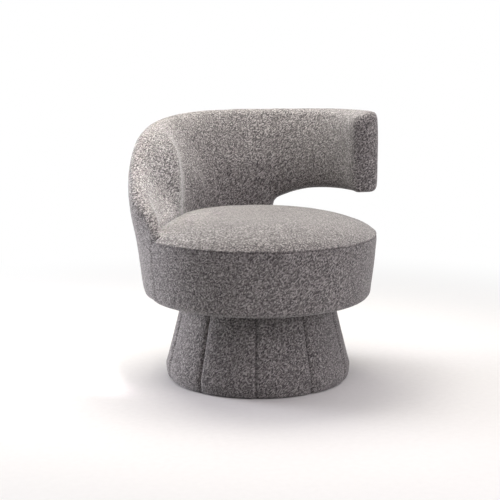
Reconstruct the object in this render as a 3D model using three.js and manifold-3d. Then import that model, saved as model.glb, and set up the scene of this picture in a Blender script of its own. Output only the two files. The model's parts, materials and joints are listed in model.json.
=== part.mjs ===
// Cuddle chair: a round swivel armchair. An upholstered cone stands on the floor, a ball
// bearing on top of it carries a round seat, and one padded wrap runs round the seat. It is
// a solid arm on the left, the back behind, and an arm that floats over a gap on the right.
//
// Millimetres, +Z up, the front of the chair faces -Y. The origin lies on the floor, on the
// swivel axis. Angles are in degrees, counted from +X towards +Y, so the back is at 90.

import * as THREE from 'three';
import { mergeVertices } from 'three/addons/utils/BufferGeometryUtils.js';
import Module from 'manifold-3d';

const wasm = await Module();
wasm.setup();

// Driving dimensions of the whole chair.
const fitGap = 0.3;
const clothThick = 3;
const boardThick = 18;
const overrun = 20;
const leastRoll = 3;
const turnStep = 9;
const smallTurnStep = 15;

// Driving dimensions of the base.
const floorPadThick = 5;
const floorPadRadius = 222;
const baseHeight = 218;
const baseFootRadius = 253;
const baseSwell = 9;
const baseSwellHeight = 39;
const baseTopRadius = 217;
const baseTopRoll = 7;
const baseSideShares = [0, 0.25, 0.6, 1];
const baseShoulderShare = 0.33;
const baseRollDipShare = 0.4;
const baseLipWidth = 55;
const baseFoamThick = 10;
const basePanelCount = 10;
const basePanelSteps = 4;
const baseSeamDepth = 2.5;
const baseRibCount = 5;
const baseRibHubRadius = 40;

// Driving dimensions of the swivel.
const plateThick = 3;
const plateRadius = 100;
const bearingGap = 11;
const ballDiameter = 8;
const ballCircleRadius = 60;
const ballCount = 10;
const raceWidth = 16;
const cageThick = 2;
const cageWidth = 14;
const pinRadius = 6;
const pinFlangeRadius = 12;
const pinFlangeThick = 3;
const screwCircleRadius = 84;
const screwCount = 4;
const screwShankRadius = 2.5;
const screwHeadRadius = 6;
const screwHeadThick = 3;
const screwBite = 13;

// Driving dimensions of the seat.
const seatSeamRadius = 332.5;
const seatSideHeight = 181;
const seatSideFlare = 13.5;
const seatCornerWidth = 27;
const seatCornerHeight = 25;
const seatLipWidth = 24;
const crownRise = 49;
const crownPower = 6;
const crownSteps = 7;
const crownCrowding = 1.6;
const seatCornerShares = [0, 0.12, 0.4];
const rimFoamDepth = 56.5;
const padThick = 4;
const springWire = 3.4;
const springCount = 4;
const springSpacingShare = 0.427;
const springWaves = 6;
const springHalfWidth = 22;
const hoopWidth = 55;
const hoopPostCount = 6;
const hoopPostWidth = 40;
const apronThick = 12;
const dustClothThick = 1.5;
const dustHoleRadius = 108;

// Driving dimensions of the wrap and of the frame inside it.
const wrapProud = 33;
const wrapRise = 336;
const wrapTuck = 48.2;
const wrapInnerPadding = 28;
const wrapInnerOffsetX = 31.9;
const wrapInnerOffsetY = 13;
const wrapLeanShare = 0.135;
const wrapTipWall = 12;
const wrapTipAngle = 199.6;
const wrapChordAngle = 153.9;
const wrapCutAngle = 68.6;
const wrapArmEndAngle = 2.2;
const wrapTopRoll = 35;
const wrapRidgeRoll = 36;
const wrapFootRoll = 8;
const wrapArmRoll = 16;
const wrapRollShare = 0.45;
const wrapFootShare = 0.4;
const wrapRidgeShare = 0.8;
const armEndRound = 15;
const foamArmAngle = 66;
const frameSetback = 52.5;
const frameThick = 24;
const frameLeanShare = 0.13;
const frameStartAngle = 72;
const wingStartAngle = 128;
const wingEndAngle = 180;
const armFrameAngle = 7;
const railTall = 24;
const wingPadding = 8;
const postWidthAngle = 8;
const backPostAngles = [76, 99, 122];
const backBoltAngles = [76, 99, 122, 150];
const backBoltRadius = 3;
const backBoltHeadRadius = 7;
const backBoltHeadThick = 5;
const backBoltBite = 22;
const backBoltSink = 2;

// Heights, worked out from the floor up.
const baseBoardBottom = floorPadThick + fitGap;
const baseBoardTop = baseBoardBottom + boardThick;
const baseLipBottom = floorPadThick - clothThick;
const topBoardBottom = baseHeight - boardThick;
const lowerPlateBottom = baseHeight + fitGap;
const lowerPlateTop = lowerPlateBottom + plateThick;
const upperPlateBottom = lowerPlateTop + bearingGap;
const upperPlateTop = upperPlateBottom + plateThick;
const ballHeight = (lowerPlateTop + upperPlateBottom) / 2;
const deckBottom = upperPlateTop + fitGap;
const deckTop = deckBottom + boardThick;
const seatBottom = deckBottom - fitGap - clothThick - fitGap;
const seamHeight = seatBottom + seatSideHeight;
const seatFoamBottom = seamHeight - rimFoamDepth;
const padBottom = seatFoamBottom - fitGap - padThick;
const springHeight = padBottom - fitGap - springWire / 2;
const hoopTop = springHeight - springWire / 2 - fitGap;
const hoopBottom = hoopTop - boardThick;

// Radii, worked out from the seam of the seat inwards.
const seatCornerRadius = seatSeamRadius - seatSideFlare;
const seatFootRadius = seatCornerRadius - seatCornerWidth;
const frameInnerRadius = seatSeamRadius - frameSetback;
const frameOuterRadius = frameInnerRadius + frameThick;
const hoopOuterRadius = frameInnerRadius - fitGap;
const hoopInnerRadius = hoopOuterRadius - hoopWidth;
const springSpacing = springSpacingShare * hoopInnerRadius;
const wrapRadius = seatSeamRadius + wrapProud;
const wrapInnerRadius = frameInnerRadius - wrapInnerPadding;
const wingCoreInset = clothThick + fitGap + wingPadding;

// Outline of the outer face of the wrap: height as a share of the way from its foot to its
// top, and the share of the whole tuck by which the face is drawn in at that height.
const wrapTuckShares = [
  [0, 1],
  [0.016, 0.955],
  [0.07, 0.773],
  [0.17, 0.636],
  [0.31, 0.455],
  [0.48, 0.144],
  [0.64, 0],
  [0.82, 0],
  [1, 0.076],
];

// Ribs of the wrap, from the low tip at the left of the seat to the free end of the floating
// arm. Each point is an angle and a height share. A share above zero counts from the seat
// seam up to the top of the wrap, a share below zero from the seam down to the foot.
const wrapRibShares = [
  { top: [199.6, 0.02], ridge: [199.6, 0.01], low: [199.6, -1] },
  { top: [190.4, 0.215], ridge: [192, 0.02], low: [192, -1] },
  { top: [176.6, 0.395], ridge: [179.2, 0.03], low: [179.2, -1] },
  { top: [166.6, 0.55], ridge: [165.8, 0.035], low: [165.8, -1] },
  { top: [158.6, 0.71], ridge: [153.9, 0.04], low: [154.5, -1] },
  { top: [152.6, 0.802], ridge: [152.6, 0.27], low: [149, -1] },
  { top: [147, 0.845], ridge: [147.5, 0.48], low: [144.5, -1] },
  { top: [142.1, 0.872], ridge: [143.6, 0.62], low: [140, -1] },
  { top: [130, 0.925], ridge: [130, 0.75], low: [128, -1] },
  { top: [114.6, 0.965], ridge: [114.6, 0.83], low: [112, -1] },
  { top: [100, 0.98], ridge: [100, 0.88], low: [92, -1] },
  { top: [93, 0.98], ridge: [93, 0.89], low: [80, -1] },
  { top: [87, 0.985], ridge: [87, 0.9], low: [68.6, -1] },
  { top: [82, 0.985], ridge: [82, 0.9], low: [68.6, -0.6] },
  { top: [77, 0.985], ridge: [77, 0.9], low: [68.6, 0.02] },
  { top: [72, 0.985], ridge: [72, 0.905], low: [68, 0.11] },
  { top: [67, 0.99], ridge: [67, 0.91], low: [66, 0.16] },
  { top: [61, 0.99], ridge: [61, 0.91], low: [61, 0.2] },
  { top: [53, 0.995], ridge: [53, 0.915], low: [53, 0.245] },
  { top: [44, 1], ridge: [44, 0.92], low: [44, 0.275] },
  { top: [32, 1.005], ridge: [32, 0.925], low: [32, 0.29] },
  { top: [20, 1.005], ridge: [20, 0.93], low: [20, 0.295] },
  { top: [10, 1.005], ridge: [10, 0.935], low: [10, 0.295] },
];
const railTopShare = 0.815;
const armRailShare = 0.37;

// Colours and finishes.
const clothFinish = { color: 0x8d8a8c, roughness: 0.95, metalness: 0 };
const foamFinish = { color: 0xe6dfc4, roughness: 0.9, metalness: 0 };
const plyFinish = { color: 0xc9a675, roughness: 0.7, metalness: 0 };
const steelFinish = { color: 0x8f9296, roughness: 0.4, metalness: 0.9 };
const feltFinish = { color: 0x2c2b2d, roughness: 1, metalness: 0 };
const dustFinish = { color: 0x1f1f21, roughness: 0.9, metalness: 0 };
const padFinish = { color: 0xb9b2a6, roughness: 1, metalness: 0 };

const chair = new THREE.Group();

// Small helpers for numbers and places.

const radians = THREE.MathUtils.degToRad;

function polar(radius, angle, height) {
  return new THREE.Vector3(radius * Math.cos(radians(angle)), radius * Math.sin(radians(angle)), height);
}

function interpolate(rows, x) {
  const last = rows.length - 1;
  let index = 1;
  while (index < last && rows[index][0] < x) index += 1;
  const [x0, y0] = rows[index - 1];
  const [x1, y1] = rows[index];
  const share = THREE.MathUtils.clamp((x - x0) / (x1 - x0), 0, 1);
  return y0 + share * (y1 - y0);
}

function arcMillimetres(length, radius) {
  return THREE.MathUtils.radToDeg(length / radius);
}

// Helpers for solids.

function closedGeometry(geometry) {
  geometry.deleteAttribute('normal');
  geometry.deleteAttribute('uv');
  const merged = mergeVertices(geometry, fitGap / 1000);
  const index = merged.getIndex().array;
  const kept = [];
  for (let i = 0; i < index.length; i += 3) {
    const [a, b, c] = [index[i], index[i + 1], index[i + 2]];
    if (a !== b && b !== c && c !== a) kept.push(a, b, c);
  }
  merged.setIndex(kept);
  return facingOut(merged);
}

function facingOut(geometry) {
  const index = Array.from(geometry.getIndex().array);
  const place = geometry.getAttribute('position');
  const corners = [new THREE.Vector3(), new THREE.Vector3(), new THREE.Vector3()];
  let volume = 0;
  for (let i = 0; i < index.length; i += 3) {
    corners.forEach((corner, k) => corner.fromBufferAttribute(place, index[i + k]));
    volume += corners[0].dot(corners[1].clone().cross(corners[2]));
  }
  if (volume < 0) index.reverse();
  geometry.setIndex(index);
  return geometry;
}

function toSolid(geometry) {
  const closed = closedGeometry(geometry);
  return new wasm.Manifold(new wasm.Mesh({
    numProp: 3,
    vertProperties: new Float32Array(closed.getAttribute('position').array),
    triVerts: new Uint32Array(closed.getIndex().array),
  }));
}

function toGeometry(solid) {
  const mesh = solid.getMesh();
  const geometry = new THREE.BufferGeometry();
  geometry.setAttribute('position', new THREE.BufferAttribute(new Float32Array(mesh.vertProperties), 3));
  geometry.setIndex(Array.from(mesh.triVerts));
  return geometry;
}

function addPiece(name, shape, finish) {
  const geometry = shape.isBufferGeometry ? closedGeometry(shape) : toGeometry(shape);
  geometry.computeVertexNormals();
  const piece = new THREE.Mesh(geometry, new THREE.MeshStandardMaterial(finish));
  piece.name = name;
  chair.add(piece);
}

// A closed body through rings of points that all have the same number of points. The first
// and the last ring are closed by flat fans, unless the rings go full circle.
function bodyThroughRings(rings, fullCircle = false) {
  const count = rings[0].length;
  const points = rings.flat();
  const index = [];
  const pairs = fullCircle ? rings.length : rings.length - 1;
  for (let i = 0; i < pairs; i += 1) {
    const next = (i + 1) % rings.length;
    for (let k = 0; k < count; k += 1) {
      const a = i * count + k;
      const b = i * count + ((k + 1) % count);
      const c = next * count + ((k + 1) % count);
      const d = next * count + k;
      index.push(a, b, c, a, c, d);
    }
  }
  if (!fullCircle) {
    capRing(rings[0], 0, true, index);
    capRing(rings[rings.length - 1], (rings.length - 1) * count, false, index);
  }
  const geometry = new THREE.BufferGeometry().setFromPoints(points);
  geometry.setIndex(index);
  return geometry;
}

// Triangles across one ring. Its first and last points lie at the same end of the section,
// and the two sides are joined across it, always by the shorter diagonal.
function capRing(ring, first, reversed, index) {
  let near = 0;
  let far = ring.length - 1;
  while (far - near > 1) {
    const stepNear = ring[near + 1].distanceTo(ring[far]);
    const stepFar = ring[near].distanceTo(ring[far - 1]);
    const third = stepNear < stepFar ? near + 1 : far - 1;
    if (reversed) index.push(first + near, first + far, first + third);
    else index.push(first + near, first + third, first + far);
    if (stepNear < stepFar) near += 1;
    else far -= 1;
  }
}

// Angles between two limits, at the limits and at every whole step between them, so that
// the facets of neighbouring round pieces line up.
function turnAngles(from, to) {
  const angles = [from];
  const slack = turnStep / 10;
  for (let k = Math.ceil((from + slack) / turnStep); k * turnStep < to - slack; k += 1) {
    angles.push(k * turnStep);
  }
  angles.push(to);
  return angles;
}

// An outline of radius and height pairs, turned round the Z axis between two angles. Ends
// that fall inside a facet are set on that facet.
function sector(outline, from, to) {
  const rings = turnAngles(from, to).map((angle) => {
    const middle = (Math.floor(angle / turnStep) + 0.5) * turnStep;
    const flat = Math.cos(radians(turnStep / 2)) / Math.cos(radians(angle - middle));
    return outline.map(([radius, height]) => polar(radius * flat, angle, height));
  });
  return bodyThroughRings(rings);
}

function turned(outline, step = turnStep) {
  const rings = [];
  for (let angle = 0; angle < 360; angle += step) {
    rings.push(outline.map(([radius, height]) => polar(radius, angle, height)));
  }
  return bodyThroughRings(rings, true);
}

function disc(radius, bottom, top, step = turnStep) {
  return turned([[0, bottom], [radius, bottom], [radius, top], [0, top]], step);
}

function ring(inner, outer, bottom, top, step = turnStep) {
  return turned([[inner, bottom], [outer, bottom], [outer, top], [inner, top]], step);
}

// A headed fastener along +Z: the head stands on height zero, the shank goes down.
function fastener(shankRadius, headRadius, headThick, shankLength, slack) {
  const facets = 8;
  const outline = [
    new THREE.Vector2(0, -shankLength - slack),
    new THREE.Vector2(shankRadius + slack, -shankLength - slack),
    new THREE.Vector2(shankRadius + slack, -slack),
    new THREE.Vector2(headRadius + slack, -slack),
    new THREE.Vector2(headRadius + slack, headThick + slack),
    new THREE.Vector2(0, headThick + slack),
  ];
  return new THREE.LatheGeometry(outline, facets).rotateX(Math.PI / 2);
}

// Outlines of the soft surfaces.

function baseRadius(height) {
  if (height <= baseSwellHeight) {
    const down = (baseSwellHeight - height) / (baseSwellHeight - baseLipBottom);
    return baseFootRadius + baseSwell * Math.sqrt(Math.max(0, 1 - down * down));
  }
  const share = (height - baseSwellHeight) / (baseHeight - baseSwellHeight);
  return baseFootRadius + baseSwell + share * (baseTopRadius - baseFootRadius - baseSwell);
}

const baseSideHeights = [
  ...baseSideShares.map((share) => baseLipBottom + share * (baseSwellHeight - baseLipBottom)),
  (baseSwellHeight + baseHeight) / 2,
  baseHeight - baseTopRoll,
];

// Sewn panels of the base: each bulges between two seams, and a seam lies at 18 degrees on
// either side of the front.
function panelDip(angle) {
  const panel = 360 / basePanelCount;
  const place = (((angle + 90) / panel + 0.5) % 1 + 1) % 1;
  const fromSeam = Math.abs(2 * place - 1);
  return baseSeamDepth * fromSeam ** 3;
}

function seatSideRadius(height, inset) {
  const cornerTop = seatBottom + seatCornerHeight;
  if (height < cornerTop) {
    const down = Math.min(1, (cornerTop - height) / (seatCornerHeight - inset));
    return seatFootRadius + (seatCornerWidth - inset) * Math.sqrt(1 - down * down);
  }
  const share = Math.min(1, (height - cornerTop) / (seamHeight - cornerTop));
  return seatCornerRadius - inset + seatSideFlare * Math.sin((share * Math.PI) / 2);
}

function crownHeight(radius, inset) {
  const share = Math.min(1, radius / (seatSeamRadius - inset));
  return seamHeight + fitGap + (crownRise - inset) * (1 - share ** crownPower);
}

function wrapOuterRadius(height) {
  const share = (height - seatBottom) / (wrapRise + seatSideHeight);
  return wrapRadius - wrapTuck * interpolate(wrapTuckShares, share);
}

// The inner face of the wrap is an upright cylinder beside the seat, a little off the swivel
// axis, that leans out above the seat. Past the chord angle it runs straight to the tip.
function wrapInnerFace(angle, height) {
  if (angle > wrapChordAngle) {
    const start = polar(seatInnerRadius(wrapChordAngle, 0), wrapChordAngle, 0);
    const end = polar(seatSeamRadius, wrapTipAngle, 0);
    const ray = polar(1, angle, 0);
    const chord = end.clone().sub(start);
    const reach = (start.x * chord.y - start.y * chord.x) / (ray.x * chord.y - ray.y * chord.x);
    return Math.min(reach, wrapOuterRadius(height) - wrapTipWall);
  }
  const fade = THREE.MathUtils.smoothstep(angle, wrapArmEndAngle, wrapCutAngle);
  const lean = fade * wrapLeanShare * Math.max(0, height - seamHeight - clothThick);
  return seatInnerRadius(angle, lean);
}

function seatInnerRadius(angle, lean) {
  const toward = wrapInnerOffsetX * Math.cos(radians(angle)) + wrapInnerOffsetY * Math.sin(radians(angle));
  const offset = wrapInnerOffsetX ** 2 + wrapInnerOffsetY ** 2;
  return toward + Math.sqrt(toward ** 2 - offset + (wrapInnerRadius + lean) ** 2);
}

function wrapHeight(share) {
  if (share < 0) return seamHeight + share * seatSideHeight;
  return seamHeight + share * wrapRise;
}

// The wrap as a solid. The inset shrinks it all round; a negative one makes it larger. An
// open foot lets the hollow of a cover run out through its lower edge.

function wrapBody(inset, openFoot = false) {
  const rows = wrapRibShares.map((row) => ({
    top: { angle: row.top[0], height: wrapHeight(row.top[1]) },
    ridge: { angle: row.ridge[0], height: wrapHeight(row.ridge[1]) },
    low: { angle: row.low[0], height: wrapHeight(row.low[1]), foot: row.low[1] === -1 },
  }));
  const wide = rows.filter(({ ridge }) => (
    wrapOuterRadius(ridge.height) - wrapInnerFace(ridge.angle, ridge.height) > 2 * inset + clothThick
  ));
  const lows = wide.map((row) => row.low);
  const ribs = wide.map((row, k) => ({
    top: row.top,
    ridge: row.ridge,
    low: insetLow(lows, k, inset, openFoot),
    inset,
  }));
  ribs.push(...armEndRibs(ribs[ribs.length - 1], inset));
  const tipLimit = wrapTipAngle - arcMillimetres(inset, wrapRadius);
  const rings = ribs.map((rib) => ribRing(rib, tipLimit));
  return bodyThroughRings(rings);
}

// The lower edge moves square to itself in the unrolled wall.
function insetLow(lows, k, inset, openFoot) {
  const low = lows[k];
  const before = lows[Math.max(0, k - 1)];
  const after = lows[Math.min(lows.length - 1, k + 1)];
  const arc = radians(before.angle - after.angle) * wrapRadius;
  const rise = after.height - before.height;
  const length = Math.hypot(arc, rise);
  const shift = arcMillimetres((inset * rise) / length, wrapRadius);
  const height = low.height + (inset * arc) / length;
  return { angle: low.angle + shift, height, floor: openFoot && low.foot ? seatBottom - overrun : height };
}

// The free end of the floating arm is boxed, with a round edge.
function armEndRibs(last, inset) {
  const steps = 3;
  const round = armEndRound - inset;
  const ribs = [];
  for (let k = 0; k <= steps; k += 1) {
    const turn = (k / steps) * (Math.PI / 2);
    const fromEnd = inset + round * (1 - Math.sin(turn));
    const angle = wrapArmEndAngle + arcMillimetres(fromEnd, wrapRadius);
    const extra = round * (1 - Math.cos(turn));
    ribs.push({
      top: { angle, height: last.top.height },
      ridge: { angle, height: last.ridge.height },
      low: { angle, height: last.low.height + extra, floor: last.low.height + extra },
      inset: inset + extra,
    });
  }
  return ribs;
}

// The outline of one rib: foot, outer wall, top roll, slope to the inner ridge, inner wall.
function ribRing({ top, ridge, low, inset }, tipLimit) {
  const outerTop = new THREE.Vector2(wrapOuterRadius(top.height), top.height);
  const innerRidge = new THREE.Vector2(wrapInnerFace(ridge.angle, ridge.height), ridge.height);
  const slope = innerRidge.clone().sub(outerTop).normalize();
  const inward = new THREE.Vector2(-slope.y, slope.x);
  const outer = outerTop.x - inset;
  const inner = innerRidge.x + inset;
  const start = outerTop.clone().addScaledVector(inward, inset);
  const topCorner = start.clone().addScaledVector(slope, (outer - start.x) / slope.x);
  const ridgeCorner = start.clone().addScaledVector(slope, (inner - start.x) / slope.x);

  const shareUp = (height, end) => {
    const share = (height - low.height) / (end.height - low.height);
    return THREE.MathUtils.clamp(share, 0, 1);
  };
  const outerWall = (height) => wrapOuterRadius(height) - inset;
  const innerWall = (height) => wrapInnerFace(ridge.angle, height) + inset;
  const place = (radius, height, end) => {
    const angle = low.angle + shareUp(height, end) * (end.angle - low.angle);
    return polar(radius, Math.min(angle, tipLimit), height);
  };

  const width = topCorner.distanceTo(ridgeCorner);
  const limit = wrapRollShare * width;
  const footWidth = outerWall(low.floor) - innerWall(low.floor);
  const footRoll = low.height > seamHeight ? wrapArmRoll : wrapFootRoll;
  const foot = Math.min(Math.max(footRoll - inset, leastRoll), wrapFootShare * footWidth);
  const topRoll = Math.min(Math.max(wrapTopRoll - inset, leastRoll), limit);
  const ridgeLimit = Math.min(limit, wrapRidgeShare * (ridgeCorner.y - low.height - foot));
  const ridgeRoll = Math.min(Math.max(wrapRidgeRoll - inset, leastRoll), ridgeLimit);

  const points = [];
  const corner = (from, at, to, steps, end) => {
    const curve = new THREE.QuadraticBezierCurve(from, at, to);
    curve.getPoints(steps).forEach((point) => points.push(place(point.x, point.y, end)));
  };
  const wall = (face, from, to, steps, end) => {
    for (let k = 1; k < steps; k += 1) {
      const height = from + (k / steps) * (to - from);
      points.push(place(face(height), height, end));
    }
  };
  const at = (x, y) => new THREE.Vector2(x, y);
  const floor = low.floor;
  const lowOuter = outerWall(floor);
  const lowInner = innerWall(floor);

  corner(
    at(lowOuter - foot, floor),
    at(lowOuter, floor),
    at(outerWall(floor + foot), floor + foot),
    2,
    top,
  );
  wall(outerWall, floor + foot, topCorner.y - topRoll, 5, top);
  corner(
    at(outerWall(topCorner.y - topRoll), topCorner.y - topRoll),
    topCorner,
    topCorner.clone().addScaledVector(slope, topRoll),
    4,
    top,
  );
  corner(
    ridgeCorner.clone().addScaledVector(slope, -ridgeRoll),
    ridgeCorner,
    at(innerWall(ridgeCorner.y - ridgeRoll), ridgeCorner.y - ridgeRoll),
    4,
    ridge,
  );
  wall(innerWall, ridgeCorner.y - ridgeRoll, floor + foot, 3, ridge);
  corner(
    at(innerWall(floor + foot), floor + foot),
    at(lowInner, floor),
    at(lowInner + foot, floor),
    2,
    ridge,
  );
  return points;
}

// Base.

function addBase() {
  const foamOuter = (height) => baseRadius(height) - clothThick - baseSeamDepth - fitGap;
  const foamInner = (height) => foamOuter(height) - baseFoamThick;
  const boardRadius = (bottom, top) => Math.min(foamInner(bottom), foamInner(top)) - fitGap;
  const screws = screwPlaces.map(([x, y]) => (
    swivelScrew(screwBite, fitGap).translate(x, y, lowerPlateTop + fitGap)
  ));

  addPiece('floor_pad', disc(floorPadRadius, 0, floorPadThick), feltFinish);
  const bottomRadius = boardRadius(baseBoardBottom, baseBoardTop);
  addPiece('base_bottom_board', disc(bottomRadius, baseBoardBottom, baseBoardTop), plyFinish);
  const topRadius = boardRadius(topBoardBottom, baseHeight);
  let topBoard = toSolid(disc(topRadius, topBoardBottom, baseHeight));
  topBoard = topBoard.subtract(pinHole(topBoardBottom, baseHeight));
  screws.forEach((screw) => {
    topBoard = topBoard.subtract(toSolid(screw));
  });
  addPiece('base_top_board', topBoard, plyFinish);

  const ribBottom = baseBoardTop + fitGap;
  const ribTop = topBoardBottom - fitGap;
  for (let k = 0; k < baseRibCount; k += 1) {
    const reach = (height) => foamInner(height) * Math.cos(radians(turnStep)) - fitGap;
    const outline = new THREE.Shape([
      new THREE.Vector2(baseRibHubRadius, ribBottom),
      new THREE.Vector2(reach(ribBottom), ribBottom),
      new THREE.Vector2(reach(baseSwellHeight), baseSwellHeight),
      new THREE.Vector2(reach(ribTop), ribTop),
      new THREE.Vector2(baseRibHubRadius, ribTop),
    ]);
    const rib = new THREE.ExtrudeGeometry(outline, { depth: boardThick, bevelEnabled: false });
    rib.translate(0, 0, -boardThick / 2).rotateX(Math.PI / 2);
    rib.rotateZ(radians((k * 360) / baseRibCount - 90));
    addPiece(`base_rib_${k + 1}`, rib, plyFinish);
  }

  const shoulder = baseSideHeights[baseSideHeights.length - 1];
  const foamSide = [
    ...[baseBoardBottom, baseSwellHeight, shoulder].map((height) => [foamOuter(height), height]),
    [foamOuter(shoulder) - baseTopRoll, baseHeight],
  ];
  addPiece('base_foam', turned([
    ...foamSide,
    ...foamSide.toReversed().map(([radius, height]) => [Math.min(radius, foamInner(height)), height]),
  ]), foamFinish);
  addPiece('base_cover', baseCover(), clothFinish);
}

// The sewn cover of the base, folded in under the bottom board and over the top board.
function baseCover() {
  const lipTop = baseHeight + fitGap + clothThick;
  const lipInner = floorPadRadius + clothThick;
  const side = baseSideHeights.slice(1);
  const outer = [
    [lipInner, baseLipBottom, 0],
    ...[baseLipBottom, ...side].map((height) => [baseRadius(height), height, 1]),
    [baseTopRadius - baseShoulderShare * baseTopRoll, lipTop - baseShoulderShare * baseTopRoll, 1],
    [baseTopRadius - baseTopRoll, lipTop, baseRollDipShare],
    [baseTopRadius - baseLipWidth, lipTop, 0],
  ];
  const cornerHeight = lipTop - clothThick;
  const inner = [
    [baseTopRadius - baseLipWidth, cornerHeight, 0],
    [baseTopRadius - baseTopRoll, cornerHeight, baseRollDipShare],
    ...side.toReversed().map((height) => [baseRadius(height) - clothThick, height, 1]),
    [baseRadius(floorPadThick) - clothThick, floorPadThick, 1],
    [lipInner, floorPadThick, 0],
  ];
  const outline = [...outer, ...inner];
  const count = basePanelCount * basePanelSteps;
  const rings = [];
  for (let k = 0; k < count; k += 1) {
    const angle = -90 + (k + 0.5 * basePanelSteps) * (360 / count);
    rings.push(outline.map(([radius, height, dip]) => (
      polar(radius - dip * panelDip(angle), angle, height)
    )));
  }
  return bodyThroughRings(rings, true);
}

// Swivel.

// The plates are screwed at four places, between the arms of a cross.
const screwPlaces = Array.from({ length: screwCount }, (_, k) => {
  const angle = radians(((k + 0.5) * 360) / screwCount);
  return [screwCircleRadius * Math.cos(angle), screwCircleRadius * Math.sin(angle)];
});

function swivelScrew(bite, slack) {
  return fastener(screwShankRadius, screwHeadRadius, screwHeadThick, plateThick + bite, slack);
}

// Room for the flanges of the centre pin through a board.
function pinHole(bottom, top) {
  const radius = pinFlangeRadius + 2 * fitGap;
  return toSolid(disc(radius, bottom - overrun, top + overrun, smallTurnStep));
}

// A plate of the swivel. Its ball race stands on its upper face or hangs under its lower one.
function swivelPlate(bottom, top, raceOnTop) {
  const rise = (bearingGap - ballDiameter) / 2 - fitGap;
  const race = ring(
    ballCircleRadius - raceWidth / 2,
    ballCircleRadius + raceWidth / 2,
    raceOnTop ? bottom : bottom - rise,
    raceOnTop ? top + rise : top,
    smallTurnStep,
  );
  const plate = ring(pinRadius + 2 * fitGap, plateRadius, bottom, top, smallTurnStep);
  return toSolid(plate).add(toSolid(race));
}

function addSwivel() {
  let lower = swivelPlate(lowerPlateBottom, lowerPlateTop, true);
  let upper = swivelPlate(upperPlateBottom, upperPlateTop, false);
  screwPlaces.forEach(([x, y], k) => {
    const seat = lowerPlateTop + fitGap;
    lower = lower.subtract(toSolid(swivelScrew(screwBite, fitGap).translate(x, y, seat)));
    addPiece(`lower_plate_screw_${k + 1}`, swivelScrew(screwBite, 0).translate(x, y, seat), steelFinish);
  });
  screwPlaces.forEach(([x, y], k) => {
    const seat = upperPlateBottom - fitGap;
    const hole = swivelScrew(screwBite, fitGap).rotateX(Math.PI).translate(x, y, seat);
    const screw = swivelScrew(screwBite, 0).rotateX(Math.PI).translate(x, y, seat);
    upper = upper.subtract(toSolid(hole));
    addPiece(`upper_plate_screw_${k + 1}`, screw, steelFinish);
  });
  addPiece('swivel_lower_plate', lower, steelFinish);
  addPiece('swivel_upper_plate', upper, steelFinish);

  const flangeLow = lowerPlateBottom - fitGap;
  const flangeHigh = upperPlateTop + fitGap;
  addPiece('swivel_centre_pin', turned([
    [0, flangeLow - pinFlangeThick],
    [pinFlangeRadius, flangeLow - pinFlangeThick],
    [pinFlangeRadius, flangeLow],
    [pinRadius, flangeLow],
    [pinRadius, flangeHigh],
    [pinFlangeRadius, flangeHigh],
    [pinFlangeRadius, flangeHigh + pinFlangeThick],
    [0, flangeHigh + pinFlangeThick],
  ], smallTurnStep), steelFinish);

  let cage = toSolid(ring(
    ballCircleRadius - cageWidth / 2,
    ballCircleRadius + cageWidth / 2,
    ballHeight - cageThick / 2,
    ballHeight + cageThick / 2,
    smallTurnStep,
  ));
  for (let k = 0; k < ballCount; k += 1) {
    const place = polar(ballCircleRadius, (k * 360) / ballCount, ballHeight);
    const ball = new THREE.SphereGeometry(ballDiameter / 2, 8, 6).rotateX(Math.PI / 2);
    cage = cage.add(toSolid(ball.translate(place.x, place.y, place.z)));
  }
  addPiece('swivel_ball_cage', cage, steelFinish);
}

// Seat.

function backBolt(angle, slack) {
  const seat = frameOuterRadius - backBoltHeadThick - backBoltSink;
  const length = seat - frameInnerRadius + backBoltBite;
  const bolt = fastener(backBoltRadius, backBoltHeadRadius, backBoltHeadThick, length, slack);
  return bolt.rotateY(Math.PI / 2).translate(seat, 0, (hoopBottom + hoopTop) / 2).rotateZ(radians(angle));
}

function addSeatFrame() {
  const deckRadius = seatFootRadius + clothThick;
  let deck = toSolid(disc(deckRadius, deckBottom, deckTop)).subtract(pinHole(deckBottom, deckTop));
  screwPlaces.forEach(([x, y]) => {
    const hole = swivelScrew(screwBite, fitGap).rotateX(Math.PI).translate(x, y, upperPlateBottom - fitGap);
    deck = deck.subtract(toSolid(hole));
  });
  addPiece('deck_board', deck, plyFinish);

  let hoop = toSolid(ring(hoopInnerRadius, hoopOuterRadius, hoopBottom, hoopTop));
  backBoltAngles.forEach((angle) => {
    hoop = hoop.subtract(toSolid(backBolt(angle, fitGap)));
  });
  addPiece('hoop_ring', hoop, plyFinish);

  const postRadius = (hoopInnerRadius + hoopOuterRadius) / 2;
  for (let k = 0; k < hoopPostCount; k += 1) {
    const tall = hoopBottom - deckTop - 2 * fitGap;
    const post = new THREE.BoxGeometry(hoopPostWidth, hoopPostWidth, tall);
    post.translate(postRadius, 0, deckTop + fitGap + tall / 2);
    post.rotateZ(radians((k * 360) / hoopPostCount - 90));
    addPiece(`hoop_post_${k + 1}`, post, plyFinish);
  }

  for (let k = 0; k < springCount; k += 1) {
    addPiece(`seat_spring_${k + 1}`, seatSpring((k - (springCount - 1) / 2) * springSpacing), steelFinish);
  }
  addPiece('insulator_pad', disc(hoopOuterRadius, padBottom, padBottom + padThick), padFinish);
}

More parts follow.
